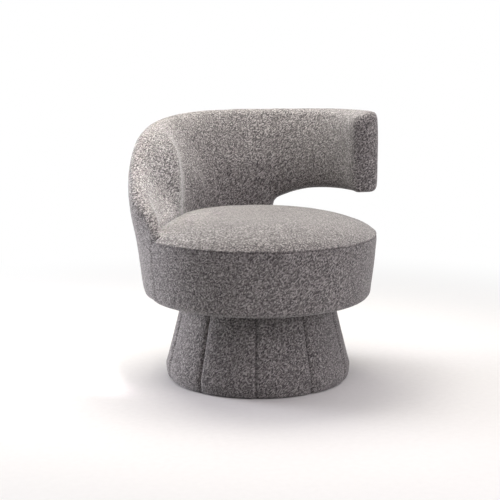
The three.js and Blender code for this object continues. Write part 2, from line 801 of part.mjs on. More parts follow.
// A zigzag spring of round wire. It lies across the hoop from front to back, and its two
// straight ends rest on the hoop.
function seatSpring(x) {
  const middleRadius = (hoopInnerRadius + hoopOuterRadius) / 2;
  const reach = Math.sqrt(middleRadius ** 2 - x ** 2);
  const straight = hoopWidth / 2 + springHalfWidth;
  const waveLength = (2 * (reach - straight)) / springWaves;
  const points = [new THREE.Vector3(x, -reach, springHeight)];
  for (let k = 0; k < springWaves; k += 1) {
    const side = k % 2 === 0 ? 1 : -1;
    const start = -reach + straight + k * waveLength;
    points.push(new THREE.Vector3(x, start, springHeight));
    points.push(new THREE.Vector3(x + side * springHalfWidth, start + waveLength / 4, springHeight));
    points.push(new THREE.Vector3(x + side * springHalfWidth, start + (3 * waveLength) / 4, springHeight));
  }
  points.push(new THREE.Vector3(x, reach - straight, springHeight));
  points.push(new THREE.Vector3(x, reach, springHeight));
  const facets = 5;
  const circle = new THREE.Shape();
  for (let k = 0; k < facets; k += 1) {
    const turn = (k * 2 * Math.PI) / facets;
    const corner = [(springWire / 2) * Math.cos(turn), (springWire / 2) * Math.sin(turn)];
    if (k === 0) circle.moveTo(...corner);
    else circle.lineTo(...corner);
  }
  const extrudePath = new THREE.CatmullRomCurve3(points, false, 'centripetal');
  const steps = 4 * springWaves + 6;
  return new THREE.ExtrudeGeometry(circle, { steps, extrudePath, bevelEnabled: false });
}

function addSeatCushion(wrapRoom) {
  const crownRadii = (inset) => {
    const radii = [];
    for (let k = crownSteps; k >= 0; k -= 1) {
      const share = k / crownSteps;
      radii.push((seatSeamRadius - inset) * (1 - (1 - share) ** crownCrowding));
    }
    return radii;
  };
  const crown = (inset) => crownRadii(inset).map((radius) => [radius, crownHeight(radius, inset)]);
  const foamInset = clothThick + fitGap;
  const cover = toSolid(turned([...crown(0), ...crown(clothThick).reverse()]));
  addPiece('seat_cover_top', cover.subtract(wrapRoom), clothFinish);
  const foam = toSolid(turned([
    ...crown(foamInset),
    [0, seatFoamBottom],
    [seatSideRadius(seatFoamBottom, foamInset), seatFoamBottom],
  ]));
  addPiece('seat_foam', foam.subtract(wrapRoom), foamFinish);

  const slack = arcMillimetres(fitGap, seatSeamRadius);
  const from = wrapTipAngle + slack;
  const to = wrapCutAngle - slack + 360;
  const cornerTop = seatBottom + seatCornerHeight;
  const heights = [
    ...seatCornerShares.map((share) => seatBottom + seatCornerHeight * share),
    deckTop + fitGap,
    cornerTop,
    (cornerTop + seatFoamBottom) / 2,
    seatFoamBottom,
    seamHeight,
  ];
  const outer = heights.map((height) => [seatSideRadius(height, 0), height]);
  const innerHeights = [seatBottom + clothThick + fitGap, ...heights.slice(2)];
  const inner = innerHeights.map((height) => [seatSideRadius(height, clothThick), height]);
  const lip = seatFootRadius - seatLipWidth;
  addPiece('seat_cover_side', sector([
    [lip, seatBottom],
    ...outer,
    ...inner.reverse(),
    [seatFootRadius, seatBottom + clothThick],
    [lip, seatBottom + clothThick],
  ], from, to), clothFinish);

  const apronFrom = from + arcMillimetres(boardThick, seatSeamRadius);
  const apronTo = to - arcMillimetres(boardThick, seatSeamRadius);
  const apronInner = frameInnerRadius;
  const apronOuter = apronInner + apronThick;
  const apronBottom = deckTop + fitGap;
  addPiece('front_apron', sector([
    [apronInner, apronBottom],
    [apronOuter, apronBottom],
    [apronOuter, hoopTop],
    [apronInner, hoopTop],
  ], apronFrom, apronTo), plyFinish);
  const foamTop = seatFoamBottom - fitGap;
  const foamHeights = [apronBottom, cornerTop, (cornerTop + seatFoamBottom) / 2, foamTop];
  addPiece('apron_foam', sector([
    [apronOuter + fitGap, apronBottom],
    ...foamHeights.map((height) => [seatSideRadius(height, foamInset) - fitGap, height]),
    [apronOuter + fitGap, foamTop],
  ], apronFrom, apronTo), foamFinish);

  const dustTop = deckBottom - fitGap;
  addPiece(
    'seat_dust_cover',
    ring(dustHoleRadius, lip - fitGap, dustTop - dustClothThick, dustTop),
    dustFinish,
  );
}

// Frame of the back and arms. It stands upright beside the hoop and leans out above it.

function frameOutline(bottom, top, slack) {
  const bend = seatFoamBottom;
  const lean = (height) => frameLeanShare * Math.max(0, height - bend);
  const heights = [bottom - slack, bend, top + slack];
  if (bottom >= bend || top <= bend) heights.splice(1, 1);
  return [
    ...heights.map((height) => [frameOuterRadius + slack + lean(height), height]),
    ...heights.toReversed().map((height) => [frameInnerRadius - slack + lean(height), height]),
  ];
}

function frameSector(bottom, top, from, to, slack = 0) {
  const turn = arcMillimetres(slack, frameInnerRadius);
  return toSolid(sector(frameOutline(bottom, top, slack), from - turn, to + turn));
}

function addBackFrame(wrapCore) {
  const railTop = wrapHeight(railTopShare);
  const railBottom = railTop - railTall;
  const armRailBottom = wrapHeight(armRailShare);
  const armRailTop = armRailBottom + railTall;
  const footBottom = deckTop + fitGap;
  const footTop = footBottom + railTall;
  const gap = arcMillimetres(fitGap, frameInnerRadius);
  const drill = (solid) => backBoltAngles.reduce(
    (left, angle) => left.subtract(toSolid(backBolt(angle, fitGap))),
    solid,
  );

  addPiece('back_bottom_rail', frameSector(footBottom, footTop, frameStartAngle, wingEndAngle), plyFinish);
  const railEnd = wingStartAngle - gap;
  addPiece('back_top_rail', frameSector(railBottom, railTop, armFrameAngle, railEnd), plyFinish);
  backPostAngles.forEach((angle, k) => {
    const from = angle - postWidthAngle / 2;
    const post = frameSector(footTop + fitGap, railBottom - fitGap, from, from + postWidthAngle);
    addPiece(`back_post_${k + 1}`, drill(post), plyFinish);
  });
  const wing = frameSector(footTop + fitGap, railTop, wingStartAngle, wingEndAngle).intersect(wrapCore);
  addPiece('wing_panel', drill(wing), plyFinish);
  const armRailEnd = backPostAngles[0] - postWidthAngle / 2 - gap;
  addPiece('arm_lower_rail', frameSector(armRailBottom, armRailTop, armFrameAngle, armRailEnd), plyFinish);
  const armPostEnd = armFrameAngle + postWidthAngle;
  addPiece(
    'arm_end_post',
    frameSector(armRailTop + fitGap, railBottom - fitGap, armFrameAngle, armPostEnd),
    plyFinish,
  );
  backBoltAngles.forEach((angle, k) => {
    addPiece(`back_bolt_${k + 1}`, backBolt(angle, 0), steelFinish);
  });

  const backSlot = frameSector(footBottom - overrun, railTop, frameStartAngle, wingStartAngle, fitGap);
  const armSlot = frameSector(armRailBottom, railTop, armFrameAngle, frameStartAngle + gap, fitGap);
  const wingSlot = frameSector(footBottom - overrun, railTop, railEnd, wingEndAngle, fitGap);
  return backSlot.add(armSlot).add(wingSlot.intersect(toSolid(wrapBody(wingCoreInset - fitGap, true))));
}

// One of the three blocks of foam that the wrap is glued up from, between two angles.
function foamBlock(from, to) {
  const reach = 2 * wrapRadius;
  const bottom = seatBottom + clothThick;
  const tall = wrapHeight(1) + overrun - bottom;
  const wedge = new THREE.Shape([
    new THREE.Vector2(0, 0),
    ...[from, (from + to) / 2, to].map((angle) => {
      const corner = polar(reach, angle, 0);
      return new THREE.Vector2(corner.x, corner.y);
    }),
  ]);
  const block = new THREE.ExtrudeGeometry(wedge, { depth: tall, bevelEnabled: false });
  return toSolid(block.translate(0, 0, bottom));
}

function addWrap() {
  const wingCore = toSolid(wrapBody(wingCoreInset, true));
  const frameSlot = addBackFrame(wingCore);
  const seatFrameRoom = toSolid(disc(
    frameOuterRadius + fitGap,
    seatBottom - overrun,
    seatFoamBottom,
  ));
  const gap = arcMillimetres(fitGap, frameInnerRadius);
  const foam = toSolid(wrapBody(clothThick + fitGap, true)).subtract(frameSlot).subtract(seatFrameRoom);
  const pastArm = wrapArmEndAngle - armFrameAngle;
  const pastTip = wrapTipAngle + armFrameAngle;
  addPiece('arm_foam', foam.intersect(foamBlock(pastArm, foamArmAngle)), foamFinish);
  addPiece('back_foam', foam.intersect(foamBlock(foamArmAngle + gap, wingStartAngle)), foamFinish);
  addPiece('wing_foam', foam.intersect(foamBlock(wingStartAngle + gap, pastTip)), foamFinish);
  const shell = toSolid(wrapBody(0)).subtract(toSolid(wrapBody(clothThick, true)));
  addPiece('wrap_cover', shell.subtract(seatFrameRoom), clothFinish);
}

addBase();
addSwivel();
addSeatFrame();
addSeatCushion(toSolid(wrapBody(-fitGap)));
addWrap();

export default chair;
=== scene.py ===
"""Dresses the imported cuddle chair: its upholstery, materials, light and camera.

Lengths are in metres, +Z is up and the front of the chair faces -Y. Angles are in degrees,
counted from +X towards +Y, so the back is at 90."""

import json
import math

import bmesh
import bpy
import numpy as np
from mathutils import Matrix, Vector
from mathutils.bvhtree import BVHTree
from mathutils.interpolate import poly_3d_calc
from mathutils.kdtree import KDTree


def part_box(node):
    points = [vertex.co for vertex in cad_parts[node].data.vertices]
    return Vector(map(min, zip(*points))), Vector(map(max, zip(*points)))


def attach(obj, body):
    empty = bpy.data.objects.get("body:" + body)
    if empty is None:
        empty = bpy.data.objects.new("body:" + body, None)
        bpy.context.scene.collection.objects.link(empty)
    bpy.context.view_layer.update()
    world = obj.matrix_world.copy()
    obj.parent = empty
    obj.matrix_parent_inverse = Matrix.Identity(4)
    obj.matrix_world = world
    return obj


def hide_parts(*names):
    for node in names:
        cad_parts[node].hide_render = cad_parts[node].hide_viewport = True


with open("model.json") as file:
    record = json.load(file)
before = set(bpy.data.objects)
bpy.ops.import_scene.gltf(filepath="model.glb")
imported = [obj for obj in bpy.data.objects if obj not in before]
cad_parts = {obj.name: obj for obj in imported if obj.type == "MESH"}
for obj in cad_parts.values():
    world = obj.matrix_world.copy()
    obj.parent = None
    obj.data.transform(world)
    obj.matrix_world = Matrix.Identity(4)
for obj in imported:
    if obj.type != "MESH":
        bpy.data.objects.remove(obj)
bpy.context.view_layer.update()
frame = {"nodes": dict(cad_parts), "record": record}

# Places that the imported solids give.
side_low, side_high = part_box("seat_cover_side")
crown_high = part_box("seat_cover_top")[1]
base_low, base_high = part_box("base_cover")
pad_low, pad_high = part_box("floor_pad")
dust_low, dust_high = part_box("seat_dust_cover")
spring_pad_low, spring_pad_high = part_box("insulator_pad")
SEAT_BOTTOM = side_low.z
SEAM_HEIGHT = side_high.z
SEAM_RADIUS = side_high.x
CROWN_RISE = crown_high.z - SEAM_HEIGHT
PAD_RADIUS = pad_high.x

FULL_TURN = 360

# Seat.
CLOTH = 0.003
SIDE_FLARE = 0.0135
CORNER_WIDTH = 0.027
CORNER_HEIGHT = 0.025
SEAT_LIP = 0.024
CROWN_POWER = 6
CROWN_CROWDING = 1.7
SEAT_SIDE_HEIGHT = SEAM_HEIGHT - SEAT_BOTTOM
SIDE_RADIUS = SEAM_RADIUS - SIDE_FLARE
SEAT_FOOT_RADIUS = SIDE_RADIUS - CORNER_WIDTH
CUSHION_DEPTH = 0.03
CUSHION_TUCK = 0.006
CUSHION_DIP = 0.006
CUSHION_DIP_WIDTH = 0.012
RIM_LIP = 0.0032
RIM_DROP_SHARE = 1.7
SEAM_GAP = 0.0028
SEAM_INSET = 0.0035
SEAM_SHOULDER = 0.009
UNDER_INSET = 2.5 * SEAM_INSET
SIDE_THICKNESS = 4 * SEAM_INSET
SIDE_OVERLAP_ANGLE = 2

# Base.
BASE_FOOT_RADIUS = 0.253
BASE_SWELL = 0.009
BASE_SWELL_HEIGHT = 0.039
BASE_TOP_RADIUS = 0.217
BASE_TOP_ROLL = 0.007
BASE_LIP = 0.055
BASE_PANELS = 10
BASE_SEAM_ANGLE = -105.2
BASE_SEAM_DIP = 0.003
BASE_SEAM_GROOVE = 0.008
BASE_SEAM_HALF_WIDTH = 0.0034
BASE_HEM_HEIGHT = 0.0125
BASE_HEM_GROOVE = 0.0016
BASE_HEM_HALF_WIDTH = 0.0018
BASE_THICKNESS = 2 * CLOTH
BASE_CROWDING = 1.8
BASE_DIP_POWER = 3
BASE_SHOULDER_DIP_SHARES = (1, 0.9, 0.5)
STITCH_LENGTH = 0.008
STITCH_DEPTH_SHARE = 0.35
TAIL_WIDTH = 0.019
TAIL_HEIGHT = 0.034
TAIL_RISE = 0.0022
TAIL_EDGE = 0.002

# Wrap.
WRAP_PROUD = 0.033
WRAP_RADIUS = SEAM_RADIUS + WRAP_PROUD
WRAP_RISE = 0.331
WRAP_TUCK = 0.0515
WRAP_SEAT_OVERLAP = 0.0805
WRAP_INNER_RADIUS = SEAM_RADIUS - WRAP_SEAT_OVERLAP
WRAP_OFFSET_X = 0.0319
WRAP_OFFSET_Y = 0.013
WRAP_LEAN_SHARE = 0.135
WRAP_TIP_WALL = 0.012
WRAP_TIP_PROUD = 0.002
WRAP_TIP_SUNK = 0.004
WRAP_TIP_BLEND_ANGLE = 180.0
WRAP_TIP_FLUSH_ANGLE = 194.5
WRAP_TIP_ANGLE = 199.6
WRAP_CHORD_ANGLE = 153.9
WRAP_CUT_ANGLE = 68.6
WRAP_ARM_END_ANGLE = 2.2
WRAP_TOP_DROP_SHARE = 0.45
WRAP_RIDGE_DROP = 0.13
WRAP_ARM_RIDGE_DROP = 0.028
WRAP_ARM_ANGLE = 14.0
WRAP_BACK_ANGLE = 60.0
WRAP_SIDE_ANGLE = 122.0
WRAP_UPRIGHT_ANGLE = 136.0
WRAP_CRISP_ANGLE = 150.0
WRAP_CRISP_SHARE = 0.92
WRAP_FOOT_ROLL = 0.017
WRAP_ARM_ROLL = 0.024
WRAP_TOP_ROLL_SHARE = 0.42
WRAP_RIDGE_ROLL_SHARE = 0.54
WRAP_ARM_ROLL_SHARE = 0.2
WRAP_FOOT_SHARE = 0.4
WRAP_RIDGE_SHARE = 0.8
LEAST_ROLL = 0.003
ARM_END_ROUND = 0.026
ARM_END_LOW_SHARE = 0.3
ARM_END_FULLNESS = 0.003
TIP_ROUND = 0.006
TIP_FULLNESS = 0.001
END_MARGIN_SHARE = 0.125
INNER_FULLNESS = 0.026
INNER_FLAT_SHARE = 0.9
SLOPE_FULLNESS = 0.01
SLOPE_WIDTH = 0.115
SLOPE_MOST_FULL = 0.035
WRAP_STEP = 0.006

# Share of the tuck by which the outer wall of the wrap is drawn in, against its height.
WRAP_TUCK_SHARES = (
    (0, 1),
    (0.016, 0.955),
    (0.07, 0.773),
    (0.17, 0.636),
    (0.31, 0.455),
    (0.48, 0.144),
    (0.64, 0),
    (0.82, 0),
    (1, 0.076),
)

# Ribs of the wrap, from the low tip on the left to the end of the floating arm. Each has the
# angle and height share of its top, of its inner ridge and of its lower edge.
WRAP_RIB_SHARES = (
    (199.6, 0.04, 192, 0.035, 199.6, -1),
    (190.4, 0.215, 177, 0.1, 188, -1),
    (183.5, 0.305, 169, 0.125, 178, -1),
    (176.6, 0.395, 163.5, 0.15, 169, -1),
    (171.4, 0.465, 160.3, 0.2, 163, -1),
    (166.6, 0.54, 158, 0.27, 159.5, -1),
    (161.5, 0.635, 155.5, 0.38, 156.5, -1),
    (156.5, 0.72, 152, 0.49, 152.5, -1),
    (151.5, 0.79, 148.5, 0.605, 148.5, -1),
    (147, 0.83, 145.5, 0.69, 145.5, -1),
    (142.1, 0.865, 141.5, 0.745, 141.5, -1),
    (130, 0.925, 130, 0.8, 130, -1),
    (114.6, 0.965, 114.6, 0.845, 112, -1),
    (100, 0.98, 100, 0.88, 92, -1),
    (93, 0.98, 93, 0.89, 80, -1),
    (87, 0.985, 87, 0.9, 68.6, -1),
    (82, 0.985, 82, 0.9, 68.6, -0.6),
    (77, 0.985, 77, 0.9, 68.6, 0.02),
    (72, 0.985, 72, 0.905, 68, 0.11),
    (67, 0.99, 67, 0.91, 66, 0.16),
    (61, 0.99, 61, 0.91, 61, 0.2),
    (53, 0.995, 53, 0.915, 53, 0.245),
    (44, 1, 44, 0.92, 44, 0.275),
    (32, 1.005, 32, 0.925, 32, 0.29),
    (20, 1.005, 20, 0.93, 20, 0.295),
    (10, 1.005, 10, 0.935, 10, 0.295),
)

# Felt under the base, dust cover and spring pad.
FELT_EDGE = 0.002
DUST_EDGE = 0.0005
DUST_HOLE = 0.108
DUST_RIPPLE = 0.0006
SPRING_PAD_EDGE = 0.0015
SPRING_PAD_RIPPLE = 0.0008
DISC_RIPPLES = 5
DISC_RIPPLE_LEAN = 40

# How finely the meshes are cut: rows, columns, steps round a corner and turns in degrees.
TUCK_STEPS = 300
FOOT_STEPS = 5
OUTER_WALL_STEPS = 42
INNER_WALL_STEPS = 30
TOP_ROLL_STEPS = 18
RIDGE_STEPS = 24
BEVEL_STEPS = 6
FLOOR_STEPS = 8
ROLL_STEPS = 6
CAP_STEPS = 8
CROWN_RINGS = 56
CUSHION_TURN = 1.0
REACH_STEPS = 40
SEAT_SIDE_COLUMNS = 300
SEAT_CORNER_ROWS = 12
SEAT_SIDE_ROWS = 44
PANEL_COLUMNS = 48
BASE_SWELL_ROWS = 22
BASE_SIDE_ROWS = 34
DISC_TURN = 2.5
DISC_RINGS = 24
DISC_RIM_STEPS = 8
BODY_TURN = 2.0
BODY_ROWS = 60
WELD = 1e-6


def polar(radius, angle, height):
    """Points of the frame at a radius and angle round the swivel axis."""
    turn = np.radians(angle)
    return np.stack(np.broadcast_arrays(radius * np.cos(turn), radius * np.sin(turn), height), -1)


def smooth_step(x, start, end):
    share = np.clip((x - start) / (end - start), 0, 1)
    return share * share * (3 - 2 * share)


def smooth_through(rows, places):
    """A curve through rows of values, without overshoot, read at places counted in rows."""
    rows = np.asarray(rows, float)
    step = np.diff(rows, axis=0)
    before, after = step[:-1], step[1:]
    turning = before * after <= 0
    total = np.where(turning, 1, before + after)
    middle = np.where(turning, 0, 2 * before * after / total)
    slope = np.vstack([step[:1], middle, step[-1:]])
    index = np.clip(places.astype(int), 0, len(rows) - 2)
    t = (places - index)[:, None]
    low, high = rows[index], rows[index + 1]
    low_slope, high_slope = slope[index], slope[index + 1]
    blend = t * t * (3 - 2 * t)
    pull = t * (1 - t)
    return low + blend * (high - low) + pull * ((1 - t) * low_slope - t * high_slope)


def grid_mesh(name, points, round_rows=False, round_columns=False):
    """A smooth mesh over rows and columns of points."""
    rows, columns = points.shape[:2]
    index = np.arange(rows * columns).reshape(rows, columns)
    if round_rows:
        index = np.vstack([index, index[:1]])
    if round_columns:
        index = np.hstack([index, index[:, :1]])
    corners = [index[:-1, :-1], index[1:, :-1], index[1:, 1:], index[:-1, 1:]]
    faces = np.stack([corner.ravel() for corner in corners], -1)
    mesh = bpy.data.meshes.new(name)
    mesh.from_pydata(points.reshape(-1, 3).tolist(), [], faces.tolist())
    piece = bpy.data.objects.new(name, mesh)
    bpy.context.scene.collection.objects.link(piece)
    return piece


def close_up(piece):
    """Joins points that lie together, closes the ends and turns all faces outwards."""
    body = bmesh.new()
    body.from_mesh(piece.data)
    bmesh.ops.remove_doubles(body, verts=body.verts, dist=WELD)
    bmesh.ops.dissolve_degenerate(body, edges=body.edges, dist=WELD)
    bmesh.ops.holes_fill(body, edges=[edge for edge in body.edges if edge.is_boundary])
    bmesh.ops.recalc_face_normals(body, faces=body.faces)
    for face in body.faces:
        face.smooth = True
    body.to_mesh(piece.data)
    body.free()
    return piece


def bezier(start, corner, end, steps):
    """Points on a rounded corner, with both ends."""
    t = np.linspace(0, 1, steps + 1)[:, None]
    start, corner, end = (np.asarray(point, float) for point in (start, corner, end))
    return (1 - t) ** 2 * start + 2 * t * (1 - t) * corner + t * t * end


# Outlines of the soft surfaces.


def seat_side_radius(height):
    corner_top = SEAT_BOTTOM + CORNER_HEIGHT
    down = np.clip((corner_top - height) / CORNER_HEIGHT, 0, 1)
    corner = SEAT_FOOT_RADIUS + CORNER_WIDTH * np.sqrt(1 - down * down)
    share = np.clip((height - corner_top) / (SEAM_HEIGHT - corner_top), 0, 1)
    side = SIDE_RADIUS + SIDE_FLARE * np.sin(share * math.pi / 2)
    return np.where(height < corner_top, corner, side)


TUCK_CURVE = smooth_through(
    WRAP_TUCK_SHARES, np.linspace(0, len(WRAP_TUCK_SHARES) - 1, TUCK_STEPS))


def wrap_outer_radius(angle, height):
    """The outer wall, which runs flush into the side of the seat towards the tip."""
    share = (height - SEAT_BOTTOM) / (WRAP_RISE + SEAT_SIDE_HEIGHT)
    radius = WRAP_RADIUS - WRAP_TUCK * np.interp(share, TUCK_CURVE[:, 0], TUCK_CURVE[:, 1])
    sunk = smooth_step(angle, WRAP_TIP_FLUSH_ANGLE, WRAP_TIP_ANGLE)
    flush = seat_side_radius(height) + WRAP_TIP_PROUD - sunk * (WRAP_TIP_PROUD + WRAP_TIP_SUNK)
    share = smooth_step(angle, WRAP_TIP_BLEND_ANGLE, WRAP_TIP_FLUSH_ANGLE)
    return radius + share * (flush - radius)


def seat_inner_radius(angle, lean):
    turn = np.radians(angle)
    toward = WRAP_OFFSET_X * np.cos(turn) + WRAP_OFFSET_Y * np.sin(turn)
    offset = WRAP_OFFSET_X ** 2 + WRAP_OFFSET_Y ** 2
    return toward + np.sqrt(toward ** 2 - offset + (WRAP_INNER_RADIUS + lean) ** 2)


def wrap_inner_radius(angle, height):
    """An upright cylinder that leans out above the seat, and a chord to the tip.

    The lean fades out towards the end of the arm and towards the chord."""
    if angle > WRAP_CHORD_ANGLE:
        start = polar(seat_inner_radius(WRAP_CHORD_ANGLE, 0), WRAP_CHORD_ANGLE, 0)
        end = polar(SEAM_RADIUS, WRAP_TIP_ANGLE, 0)
        ray = polar(1, angle, 0)
        chord = end - start
        across = ray[0] * chord[1] - ray[1] * chord[0]
        reach = (start[0] * chord[1] - start[1] * chord[0]) / across
        return np.minimum(reach, wrap_outer_radius(angle, height) - WRAP_TIP_WALL)
    fade = smooth_step(angle, WRAP_ARM_END_ANGLE, WRAP_CUT_ANGLE)
    fade = fade * (1 - smooth_step(angle, WRAP_UPRIGHT_ANGLE, WRAP_CHORD_ANGLE))
    lean = fade * WRAP_LEAN_SHARE * np.maximum(0, height - SEAM_HEIGHT - CLOTH)
    return seat_inner_radius(angle, lean)


def wrap_height(share):
    span = np.where(share < 0, SEAT_SIDE_HEIGHT, WRAP_RISE)
    return SEAM_HEIGHT + share * span


def rib_outline(row, inset, low_rise=0.0):
    """One closed outline across the wrap. Its points always stand in the same order."""
    top_angle, top_share, ridge_angle, ridge_share, low_angle, low_share = row
    top_height, ridge_height = wrap_height(top_share), wrap_height(ridge_share)
    low_height = wrap_height(low_share) + low_rise
    outer_top = np.array([wrap_outer_radius(top_angle, top_height), top_height])
    inner_ridge = np.array([wrap_inner_radius(ridge_angle, ridge_height), ridge_height])
    width = np.linalg.norm(inner_ridge - outer_top)
    slope = (inner_ridge - outer_top) / width
    full = min(SLOPE_FULLNESS * (width / SLOPE_WIDTH) ** 2, SLOPE_MOST_FULL)
    start = outer_top + (full - inset) * np.array([slope[1], -slope[0]])
    crisp = WRAP_CRISP_SHARE * smooth_step(ridge_angle, WRAP_SIDE_ANGLE, WRAP_CRISP_ANGLE)
    top_corner = start + slope * (outer_top[0] - inset - start[0]) / slope[0]
    ridge_corner = start + slope * (inner_ridge[0] + inset - start[0]) / slope[0]

    def outer_wall(height):
        return wrap_outer_radius(top_angle, height) - inset

    def inner_wall(height):
        rise = (height - SEAM_HEIGHT) / max(ridge_corner[1] - SEAM_HEIGHT, LEAST_ROLL)
        swell = INNER_FULLNESS * np.sin(math.pi * np.clip(rise, 0, 1)) ** 2
        swell = swell * smooth_step(ridge_corner[1] - SEAM_HEIGHT, 0, WRAP_RISE)
        swell = swell * smooth_step(ridge_angle, WRAP_ARM_END_ANGLE, WRAP_BACK_ANGLE)
        swell = swell * (1 - crisp * INNER_FLAT_SHARE)
        return wrap_inner_radius(ridge_angle, height) + inset - swell

    foot_width = outer_wall(low_height) - inner_wall(low_height)
    foot_roll = WRAP_ARM_ROLL if low_height > SEAM_HEIGHT else WRAP_FOOT_ROLL
    foot = min(max(foot_roll - inset, LEAST_ROLL), WRAP_FOOT_SHARE * foot_width)
    bevel_width = np.linalg.norm(top_corner - ridge_corner)
    soft = smooth_step(ridge_angle, WRAP_ARM_ANGLE, WRAP_BACK_ANGLE) - crisp
    top_roll = WRAP_TOP_ROLL_SHARE * bevel_width
    top_drop = WRAP_TOP_DROP_SHARE * bevel_width
    ridge_roll = bevel_width * (
        WRAP_ARM_ROLL_SHARE + soft * (WRAP_RIDGE_ROLL_SHARE - WRAP_ARM_ROLL_SHARE))
    full_drop = WRAP_ARM_RIDGE_DROP + soft * (WRAP_RIDGE_DROP - WRAP_ARM_RIDGE_DROP)
    ridge_drop_limit = WRAP_RIDGE_SHARE * (ridge_corner[1] - low_height - foot)
    ridge_drop = min(max(full_drop - inset, LEAST_ROLL), ridge_drop_limit)

    def wall(face, low, high, steps):
        height = np.linspace(low, high, steps + 1)[1:-1]
        return np.stack([face(height), height], -1)

    low_outer, low_inner = outer_wall(low_height), inner_wall(low_height)
    foot_top = low_height + foot
    roll_low = top_corner[1] - top_drop
    ridge_low = ridge_corner[1] - ridge_drop
    roll_end = top_corner + slope * top_roll
    ridge_start = ridge_corner - slope * ridge_roll
    share = np.linspace(0, 1, BEVEL_STEPS + 1)[1:-1, None]
    bevel = roll_end + share * (ridge_start - roll_end)
    across = np.linspace(0, 1, FLOOR_STEPS + 1)[1:-1, None]
    floor_inner = np.array([low_inner + foot, low_height])
    floor_outer = np.array([low_outer - foot, low_height])
    outer = np.vstack([
        bezier(floor_outer, (low_outer, low_height), (outer_wall(foot_top), foot_top), FOOT_STEPS),
        wall(outer_wall, foot_top, roll_low, OUTER_WALL_STEPS),
        bezier((outer_wall(roll_low), roll_low), top_corner, roll_end, TOP_ROLL_STEPS),
    ])
    inner = np.vstack([
        bezier(ridge_start, ridge_corner, (inner_wall(ridge_low), ridge_low), RIDGE_STEPS),
        wall(inner_wall, ridge_low, foot_top, INNER_WALL_STEPS),
        bezier((inner_wall(foot_top), foot_top), (low_inner, low_height), floor_inner, FOOT_STEPS),
        floor_inner + across * (floor_outer - floor_inner),
    ])

    def turned(outline, end_angle, end_height):
        up = np.clip((outline[:, 1] - low_height) / (end_height - low_height), 0, 1)
        return low_angle + up * (end_angle - low_angle)

    outer_turn = turned(outer, top_angle, top_height)
    inner_turn = turned(inner, ridge_angle, ridge_height)
    bevel_turn = outer_turn[-1] + share[:, 0] * (inner_turn[0] - outer_turn[-1])
    return np.vstack([
        polar(outer[:, 0], outer_turn, outer[:, 1]),
        polar(bevel[:, 0], bevel_turn, bevel[:, 1]),
        polar(inner[:, 0], inner_turn, inner[:, 1]),
    ])


def wrap_points():
    """All outlines of the wrap from the tip to the end of the arm, with both ends rounded."""
    rows = np.array(WRAP_RIB_SHARES, float)
    heights = np.stack([wrap_height(rows[:, k]) for k in (1, 3, 5)], -1)
    arcs = np.radians(rows[:, 0::2]) * WRAP_RADIUS
    moved = np.hypot(np.diff(arcs, axis=0), np.diff(heights, axis=0)).max(axis=1)
    places = [np.linspace(k, k + 1, math.ceil(far / WRAP_STEP), endpoint=False)
              for k, far in enumerate(moved)]
    fine = smooth_through(rows, np.append(np.concatenate(places), len(rows) - 1))
    tip_turn = math.degrees(TIP_ROUND / WRAP_RADIUS)
    body = [row for row in fine if row[0] < WRAP_TIP_ANGLE - tip_turn]
    outlines = []
    for k in range(ROLL_STEPS, -1, -1):
        turn = k / ROLL_STEPS * math.pi / 2
        row = body[0].copy()
        row[0::2] += tip_turn * math.sin(turn)
        outlines.append(rib_outline(row, TIP_ROUND * (1 - math.cos(turn))))
    outlines += [rib_outline(row, 0.0) for row in body[1:]]
    for k in range(1, ROLL_STEPS + 1):
        turn = k / ROLL_STEPS * math.pi / 2
        from_end = ARM_END_ROUND * (1 - math.sin(turn))
        row = rows[-1].copy()
        row[0::2] = WRAP_ARM_END_ANGLE + math.degrees(from_end / WRAP_RADIUS)
        extra = ARM_END_ROUND * (1 - math.cos(turn))
        outlines.append(rib_outline(row, extra, ARM_END_LOW_SHARE * extra))
    return np.array(outlines)


def end_cap(outline, along, fullness):
    """Outlines that shrink to the middle line of an end and swell along it."""
    half = len(outline) // 2
    outer_side, inner_side = outline[:half], outline[half:]
    outer_side = outer_side[np.argsort(outer_side[:, 2])]
    inner_side = inner_side[np.argsort(inner_side[:, 2])]
    spine = np.zeros_like(outline)
    low = max(outer_side[0, 2], inner_side[0, 2])
    high = min(outer_side[-1, 2], inner_side[-1, 2])
    margin = END_MARGIN_SHARE * (high - low)
    height = np.clip(outline[:, 2], low + margin, high - margin)
    for axis in range(3):
        outer = np.interp(height, outer_side[:, 2], outer_side[:, axis])
        inner = np.interp(height, inner_side[:, 2], inner_side[:, axis])
        spine[:, axis] = (outer + inner) / 2
    caps = []
    for k in range(1, CAP_STEPS + 1):
        share = k / CAP_STEPS
        swelling = fullness * (1 - (1 - share) ** 2)
        caps.append(outline + share * (spine - outline) + swelling * along)
    return caps


def make_wrap():
    points = wrap_points()
    arm_along = polar(1, WRAP_ARM_END_ANGLE - FULL_TURN / 4, 0)
    tip_along = polar(1, WRAP_TIP_ANGLE + FULL_TURN / 4, 0)
    arm_cap = end_cap(points[-1], arm_along, ARM_END_FULLNESS)
    tip_cap = end_cap(points[0], tip_along, TIP_FULLNESS)
    points = np.concatenate([np.array(tip_cap[::-1]), points, np.array(arm_cap)])
    return close_up(grid_mesh("wrap_upholstery", points, round_columns=True))


def crown_height(radius):
    return SEAM_HEIGHT + CROWN_RISE * (1 - (radius / SEAM_RADIUS) ** CROWN_POWER)


def cushion_reach(wrap_piece, angle):
    """The radius at which the crown of the seat meets the wrap, or its own seam."""
    radius = np.linspace(SEAM_RADIUS / 2, SEAM_RADIUS, REACH_STEPS)
    curve = polar(radius, angle, crown_height(radius))
    for start, end in zip(curve[:-1], curve[1:]):
        way = Vector(end - start)
        hit = wrap_piece.ray_cast(Vector(start), way.normalized(), way.length)
        if hit[0] is not None:
            return min(math.hypot(hit[0].x, hit[0].y), SEAM_RADIUS)
    return SEAM_RADIUS


